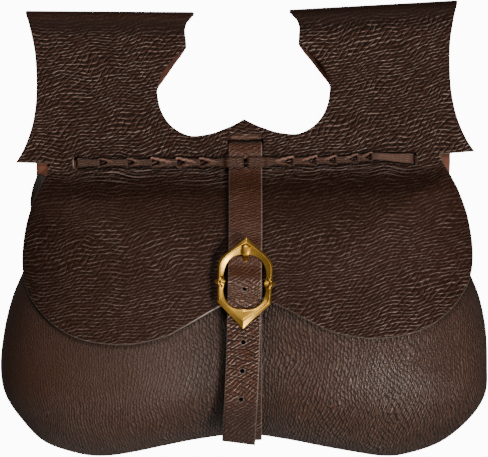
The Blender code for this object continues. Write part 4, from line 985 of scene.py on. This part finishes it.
def buckle_strap_route():
    points = [(BAR_DEPTH + 1.9 * WRAP_RADIUS, BAR_HEIGHT - WRAP_END),
              (BAR_DEPTH + 1.82 * WRAP_RADIUS, BAR_HEIGHT - 0.36 * WRAP_END),
              (BAR_DEPTH + 1.35 * WRAP_RADIUS, BAR_HEIGHT + 0.06 * WRAP_END)]
    for turn in range(45, 226, 30):
        angle = math.radians(turn)
        points.append((BAR_DEPTH + WRAP_RADIUS * math.cos(angle), BAR_HEIGHT + WRAP_RADIUS * math.sin(angle)))
    apart = STRAP_LEATHER + 1.4 * GAP
    points += over_bar_points(apart)[7:]
    points.append((UNDER_FRAME + apart + GAP, BAR_HEIGHT - 0.7 * BUCKLE_FALL))
    clear = GAP + STRAP_LEATHER / 2 + STRAP_CHORD
    bottom = min(z for x, z in bag_outline(2.0 * MM) if abs(x) < 0.6 * STRAP_WIDTH)
    start = BAR_HEIGHT - 1.4 * BUCKLE_FALL
    for share in (0.0, 0.25, 0.5, 0.72, 0.88, 0.96):
        points.append(beside_lie(start + share * (bottom - start), clear))
    edge = GAP / 2 + LEATHER
    points += [(-0.06 * BAG_DEPTH, bottom - clear), (0.5 * edge, bottom - clear),
               (edge + 0.7 * clear, bottom - 0.7 * clear), (edge + clear, bottom + 0.3 * clear)]
    for up in (0.12, 0.3, 0.55, 0.8, 1.0):
        z = bottom + up * BACK_RUN
        points.append((edge + float(back_bulge(0.0, z)) + clear, z))
    return points


straight, run, fine = follow(buckle_strap_route(), lambda z: np.zeros_like(z) + STRAP_ASIDE)
top_run = float(run[np.argmax(fine[:, 1])])
quarter = WRAP_RADIUS * math.pi / 2
pin_slot = cut_slot(-PIN_SLOT / 2, PIN_SLOT / 2, top_run - 1.55 * quarter, top_run + 2.6 * quarter,
                    corner=1.3 * MM)
pattern = strip_pattern(run[-1], 0.0, [pin_slot], 1.2 * MM)
# painted shade over all of it, as it lies behind the closing strap, and a faint painted highlight on its cut
# edges
buckle_strap = make_leather("buckle_strap_leather", pattern, leaned_at_bar(straight, top_run), STRAP_LEATHER,
                            (strap_grain, hide_flesh, cut_edge), grained=0.6, worn=0.2, grime=0.35)
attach(buckle_strap, "root")
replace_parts(buckle_strap, "buckle_strap")

# Lacing: two flat thongs cut from the hide, each pulled through slits in itself, so that every link
# shows as a dark eye with two raw-edged arms that close to a point towards the middle.

THONG_LEATHER = 1.3 * MM
LINKS_LEFT = [
    # open end and tip from the middle in mm, size
    (78.7, 71.0, 0.5), (63.5, 57.0, 0.6), (50.5, 40.0, 1.0), (37.0, 27.0, 1.0), (24.5, 15.5, 0.8),
]
LINKS_RIGHT = [
    # open end and tip from the middle in mm, size
    (25.6, 16.0, 1.0), (38.2, 30.2, 0.9), (48.8, 42.4, 0.8), (60.4, 53.0, 0.7), (68.3, 62.5, 0.6),
]


def make_thong(name, side, links):
    rest = GAP + THONG_LEATHER / 2
    face = -(GAP / 2 + LEATHER)
    _, run, fine = follow(closing_route(), strap_shift)
    strap_face = fine[np.abs(fine[:, 1] + LACING_DROP) < 0.7 * THONG_WIDTH, 0].min() - STRAP_LEATHER / 2
    low, high = face - rest, strap_face - rest
    middle = strap_shift(-LACING_DROP) - LACING_DROP * math.sin(LEAN)
    over = STRAP_WIDTH / 2 + side * middle
    end = LACE_HOLE / 2 - GAP - THONG_LEATHER / 2 + side * middle
    bend = THONG_LEATHER
    dive = THONG_REACH - 0.24 * SLIT_WIDTH
    route = [(dive, face + 0.7 * LEATHER), (dive - 0.04 * bend, face + 0.08 * bend),
             (dive - 0.38 * bend, low + 0.27 * bend), (dive - 1.23 * bend, low)]
    route += [(share * THONG_REACH, low) for share in (0.8, 0.6, 0.4, 0.22)]
    route += [(over + 2.7 * bend, low - 0.15 * (low - high)), (over + 0.46 * bend, high + 0.1 * (low - high)),
              (over - 1.54 * bend, high), (end + 1.23 * bend, high), (end + 0.35 * bend, high + 0.27 * bend),
              (end, high + 0.85 * bend), (end, high + 1.54 * bend)]
    fine = smooth_curve(route, 0.2 * MM)
    run = run_along(fine)
    spans = [(reached(run, fine[:, 0], opened * MM), reached(run, fine[:, 0], tip * MM), size)
             for opened, tip, size in sorted(links, reverse=True)]

    def half_width(along):
        half = 1.85 * MM + 0.85 * MM * ramp(along, 0.9 * spans[0][0], 0.0)
        half += 0.9 * MM * ramp(along, spans[-1][1], spans[-1][1] + 4 * MM)
        for opened, tip, size in spans:
            share = np.clip((tip - along) / (tip - opened), 0.0, 1.0)
            swell = share * ramp(along, opened - 1.6 * MM, opened + 0.3 * MM)
            half = np.maximum(half, (1.85 + 1.15 * size * swell) * MM)
        return half

    def arms(along, across, wide, lower=1.0):
        """How near a point is to a link's two arms, 0 to the link's size; lower weighs the lower arm."""
        near = np.zeros(np.shape(along))
        for opened, tip, size in spans:
            share = np.clip((tip - along) / (tip - opened), 0.0, 1.0)
            line = 2.5 * MM * share ** 0.8 + 0.18 * MM * np.sin(2.1 * along / MM + 5.0 * size)
            off = np.abs(np.abs(across) - line)
            within = ramp(along, opened - 0.9 * MM, opened) * ramp(along, tip + 0.8 * MM, tip - 0.5 * MM)
            weight = size * (0.45 + 0.55 * share) * np.where(across > 0, 1.0, lower)
            near = np.maximum(near, weight * within * bell(off, 0.0, wide * MM))
        return near

    def shape(flat):
        along, across = flat.T
        x, y = on_line(fine, run, along).T
        raised = thong_raise(side, x)
        world_x, world_z = turned(side * x, -LACING_DROP + across + raised, LEAN)
        swell = loop_half_gap(-LACING_DROP + raised + THONG_WIDTH / 2, FOLD_TOP) - GAP / 2
        y = y - 0.7 * MM * arms(along, across, 0.5) - swell * ramp(x, 1.1 * over, 1.8 * over)
        return np.stack([world_x, y, world_z], axis=1)

    stations = np.linspace(0.0, run[-1], int(run[-1] / (0.5 * MM)))
    halves = half_width(stations)
    outline = np.array([*zip(stations, -halves), *zip(stations[::-1], halves[::-1])])
    eyes = []
    for opened, tip, size in spans:
        reach = min(0.55 * (tip - opened), 4.2 * MM)
        tall = 1.4 * MM + 0.65 * MM * size
        upper = [(0.2 * MM, 0.0), (0.35 * MM, tall), (1.2 * MM, 0.85 * tall), (reach, 0.0)]
        eye = [(opened + x, y) for x, y in upper] + [(opened + x, -y) for x, y in upper[-2::-1]]
        eyes.append(smooth_curve(eye, 0.45 * MM)[:-1])
    step = 0.3 * MM
    grid = np.array(staggered(step * np.arange(int(run[-1] / step) + 1), step, halves.max()))[:, ::-1]
    pattern = cut_leather(outline, eyes, grid, edge=0.2 * MM, step=0.4 * MM)
    along, across = pattern[0].T
    # the fibre shows along the arms, and on the right thong's long plain stretch the dye is rubbed thin
    plain = 0.13 * (side > 0) * ramp(along, 2 * MM, 6 * MM) * ramp(along, spans[0][0], 0.8 * spans[0][0])
    # painted shade along its cut edges and where it dives into its slit
    shade_and_polish_marks = np.maximum(0.6 * ramp(pattern[2], 0.6 * MM, 0.0), 0.9 * ramp(along, 2.8 * MM, 1.6 * MM))
    bare = np.maximum(plain, 0.95 * arms(along, across, 0.3, 0.15) ** 1.4)
    thong = make_leather(name, pattern, shape, THONG_LEATHER, (thong_grain, hide_flesh, raw_edge), face=side,
                         grained=0.6, grime=shade_and_polish_marks, raw=bare)
    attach(thong, "root")
    return thong


thong_grain = hide_material("thong_grain", "#2b1a12", "#553727", "#7f6454", (3.0, 1.3), 0, 20, gloss=0.2,
                            relief=0.2, bright=0.6, rough=0.42)
raw_edge = flesh_material("raw_thong_edge", "#633822", "#2c170d")
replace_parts(make_thong("lacing_left_thong", -1, LINKS_LEFT), "lacing_left")
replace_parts(make_thong("lacing_right_thong", 1, LINKS_RIGHT), "lacing_right")

# Buckle: a double-loop frame with its centre bar, cast in yellow brass in a sand mould, filed to crisp
# facets and polished, then handled until only the recesses are dark. The tongue is bent round the bar.

WAIST = 1.3 * MM
WINDOW_SQUARENESS = 2.6
PIN_THICKNESS = 1.4 * MM
PIN_REACH = 20.2 * MM
PIN_WIDTH = 2.8 * MM
PIN_TIP_WIDTH = 3.7 * MM
PIN_SEGMENTS = 20
CAST_DETAIL = 0.17 * MM
FRAME_UPPER = [
    # out, up
    (0.00, 1.00), (0.25, 0.875), (0.505, 0.748), (0.76, 0.617), (0.88, 0.54), (0.965, 0.45), (1.00, 0.34),
    (1.00, 0.00),
]
FRAME_SIDE = [
    # out, down
    (0.985, 0.22), (0.975, 0.43),
]
FRAME_FOOT = [
    # out, down
    (0.975, 0.43), (0.66, 0.61), (0.32, 0.80), (0.00, 1.00),
]
KNOB_BEADS = [
    # height over the bar, out from the knob's middle, half length, half depth, half height, tilt, segments
    (0.0, 0.4, 2.5, 2.4, 2.3, -8.0, 4), (1.7, -0.3, 1.8, 1.6, 0.9, 38.0, 24),
    (-1.7, -0.3, 1.8, 1.6, 0.9, -38.0, 24),
]


def frame_outer(step):
    upper, side, foot = (
        [(out * BUCKLE_HALF_WIDTH, up * reach) for out, up in table]
        for table, reach in ((FRAME_UPPER, BUCKLE_RISE), (FRAME_SIDE, -BUCKLE_FALL),
                             (FRAME_FOOT, -BUCKLE_FALL)))
    shoulder = smooth_curve(upper[1:] + side, step)
    gable = [np.array(upper[0]) + t * (np.array(upper[1]) - upper[0]) for t in (0.0, 0.33, 0.67)]
    return np.concatenate([gable, shoulder, smooth_curve(foot, step)[1:]])


def frame_inner(outer):
    """The windows' edge, one point for each point of the outer edge, at the same turn round the bar."""
    rows = []
    for x, z in outer:
        turn = math.atan2(z, x)
        rise = WINDOW_HEIGHT if z > 0 else LOWER_WINDOW
        c, s = math.cos(turn), math.sin(turn)
        square = abs(c / WINDOW_HALF_WIDTH) ** WINDOW_SQUARENESS + abs(s / rise) ** WINDOW_SQUARENESS
        reach = square ** (-1 / WINDOW_SQUARENESS)
        waist = WAIST * math.exp(-(reach * s / (2 * WAIST)) ** 2)
        rows.append(((reach - waist) * c, (reach - waist) * s))
    return np.array(rows)


def on_bar(bm, name, material):
    """A casting made round the centre bar, set in its place and leaned as the buckle leans."""
    bmesh.ops.recalc_face_normals(bm, faces=bm.faces)
    mesh = bpy.data.meshes.new(name)
    bm.to_mesh(mesh)
    bm.free()
    mesh.materials.append(material)
    mesh.shade_smooth()
    piece = put(name, mesh)
    piece.location = (float(strap_shift(BAR_HEIGHT)), BAR_DEPTH, BAR_HEIGHT)
    piece.rotation_euler = (0.0, -BUCKLE_LEAN, 0.0)
    melted = piece.modifiers.new("melted", "REMESH")
    melted.mode = "VOXEL"
    melted.voxel_size = CAST_DETAIL
    melted.use_smooth_shade = True
    polished = piece.modifiers.new("polished", "SMOOTH")
    polished.factor = 0.5
    polished.iterations = 2
    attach(piece, "root")
    return piece


def bridge(bm, low, high):
    """Faces between two closed rows of points."""
    count = len(low)
    for j in range(count):
        bm.faces.new((low[j], low[(j + 1) % count], high[(j + 1) % count], high[j]))


def brass_material():
    """Yellow brass, cast and polished by hand: warm mirror-like facets, softened by fine scratches, and
    brown tarnish left in the hollows where no cloth or sleeve rubs it off."""
    material, tree, shader = new_material("polished_cast_brass")
    place = add(tree, "TexCoord").outputs["Object"]
    cloud = add(tree, "TexNoise", {"Vector": place, "Scale": 260.0, "Detail": 3.0})
    pits = add(tree, "TexNoise", {"Vector": place, "Scale": 1500.0, "Detail": 2.0})
    bent = add(tree, "NewGeometry").outputs["Pointiness"]
    aside = add(tree, "SeparateXYZ", {"Vector": place})
    from_bar, from_middle = (
        add(tree, "Math", {0: aside.outputs[axis]}, operation="ABSOLUTE") for axis in "ZX")
    rows = (
        # what is read, from, to, result at from, result at to: hollows, stains, ridges, and the bar between
        # the frame's sides and the strap, painted near black: partly tarnish where no cloth reaches, partly
        # painted shade
        (bent, 0.45, 0.5, 1.0, 0.0),
        (cloud, 0.4, 0.75, 0.0, 0.4),
        (bent, 0.53, 0.6, 0.0, 0.8),
        (from_bar, 1.1 * BAR_RADIUS, 1.6 * BAR_RADIUS, 1.0, 0.0),
        (from_middle, WINDOW_HALF_WIDTH - 0.9 * WAIST, WINDOW_HALF_WIDTH - 0.3 * WAIST, 1.0, 0.0),
    )
    hollow, stain, ridge, level, within = (
        add(tree, "MapRange", {"Value": value, 1: low, 2: high, 3: first, 4: last})
        for value, low, high, first, last in rows)
    on_the_bar = add(tree, "Math", {0: level, 1: within}, operation="MULTIPLY")
    stained = add(tree, "Math", {0: hollow, 1: stain}, operation="MAXIMUM")
    dull = add(tree, "Math", {0: stained, 1: on_the_bar}, operation="MAXIMUM")
    tarnish_and_bar_shade = add(tree, "Mix", {0: on_the_bar, 6: linear("#8a5a1c"), 7: linear("#150c05")}, data_type="RGBA")
    rubbed = add(tree, "Mix", {0: ridge, 6: linear("#d9a646"), 7: linear("#f5d592")}, data_type="RGBA")
    colour = add(tree, "Mix", {0: dull, 6: rubbed, 7: tarnish_and_bar_shade}, data_type="RGBA")
    rough = add(tree, "MapRange", {"Value": dull, 3: 0.34, 4: 0.55})
    bump = add(tree, "Bump", {"Height": pits, "Distance": 0.04 * MM, "Strength": 0.6})
    feed(tree, shader, {"Base Color": colour, "Roughness": rough, "Normal": bump, "Metallic": 1.0})
    return material


brass = brass_material()
outer = frame_outer(0.7 * MM)
inner = frame_inner(outer)
outer, inner = (np.concatenate([half, half[-2:0:-1] * (-1, 1)]) for half in (outer, inner))
front, back = -FRAME_THICKNESS / 2, FRAME_THICKNESS / 2
bm = bmesh.new()
rows = []
for o, i in zip(outer, inner):
    foot = float(ramp(-o[1], 0.3 * BUCKLE_FALL, 0.8 * BUCKLE_FALL))
    crest = 0.3 + 0.12 * foot
    profile = [
        # share of the way from the outer edge to the window, depth
        (0.0, back), (0.0, 0.1 * front), (crest - 0.04, 0.97 * front), (crest + 0.04, 0.97 * front),
        (crest + 0.12, 0.72 * front), (0.88, (0.22 + 0.3 * foot) * front), (1.0, 0.05 * front), (1.0, back),
    ]
    ring = [(*(o + share * (i - o)), depth) for share, depth in profile]
    rows.append([bm.verts.new((x, depth, z)) for x, z, depth in ring])
for low, high in zip(rows, rows[1:] + rows[:1]):
    bridge(bm, low, high)
bar_end = WINDOW_HALF_WIDTH - WAIST + 2 * BAR_RADIUS
bmesh.ops.create_cone(bm, cap_ends=True, segments=24, radius1=BAR_RADIUS, radius2=BAR_RADIUS,
                      depth=2 * bar_end, matrix=Matrix.Rotation(math.pi / 2, 4, "Y"))
for side in (-1, 1):
    for up, out, half_length, half_depth, half_height, tilt, segments in KNOB_BEADS:
        at = Matrix.Translation((side * (0.93 * BUCKLE_HALF_WIDTH + out * MM), 0.12 * front, up * MM))
        lean = Matrix.Rotation(math.radians(side * tilt), 4, "Y")
        size = Matrix.Diagonal((half_length * MM, half_depth * MM, half_height * MM, 1.0))
        bmesh.ops.create_uvsphere(bm, u_segments=segments, v_segments=segments // 2, radius=1.0,
                                  matrix=at @ lean @ size)
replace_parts(on_bar(bm, "buckle_frame_casting", brass), "buckle_frame")

PIN_RING = BAR_RADIUS + 0.9 * GAP + PIN_THICKNESS / 2
route = [(-PIN_RING * math.cos(math.radians(turn)), -PIN_RING * math.sin(math.radians(turn)))
         for turn in range(-60, 181, 24)]
on_frame = -(FRAME_THICKNESS / 2 + GAP + PIN_THICKNESS / 2)
route += [(1.12 * PIN_RING, 0.45 * PIN_HOLE_RISE), (1.3 * PIN_RING, 0.85 * PIN_HOLE_RISE),
          (1.35 * PIN_RING, 1.2 * PIN_HOLE_RISE), (0.75 * PIN_RING, 1.37 * PIN_HOLE_RISE),
          (-0.3 * PIN_RING, 1.5 * PIN_HOLE_RISE),
          (on_frame, 1.04 * WINDOW_HEIGHT), (on_frame, PIN_REACH)]
middle = smooth_curve(route, 0.35 * MM)
ahead = np.gradient(middle, axis=0)
ahead /= np.linalg.norm(ahead, axis=1)[:, None]
bm = bmesh.new()
rings = []
for k, (point, along) in enumerate(zip(middle, ahead)):
    widened = float(ramp(point[1], 1.2 * PIN_HOLE_RISE, 1.55 * PIN_HOLE_RISE)) * (point[0] < 0)
    width = PIN_WIDTH + widened * (PIN_TIP_WIDTH - PIN_WIDTH)
    blunt = math.sqrt(max(0.08, 1.0 - max(0.0, 1.0 - (len(middle) - 1 - k) / 4) ** 2))
    ring = []
    for turn in 2 * math.pi * np.arange(PIN_SEGMENTS) / PIN_SEGMENTS:
        c, s = (math.copysign(abs(part) ** 0.8, part) for part in (math.cos(turn), math.sin(turn)))
        x, off = blunt * width / 2 * c, blunt * PIN_THICKNESS / 2 * s
        ring.append(bm.verts.new((x, point[0] + off * along[1], point[1] - off * along[0])))
    rings.append(ring)
for low, high in zip(rings, rings[1:]):
    bridge(bm, low, high)
bm.faces.new(rings[0])
bm.faces.new(rings[-1])
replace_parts(on_bar(bm, "buckle_pin_tongue", brass), "buckle_pin")
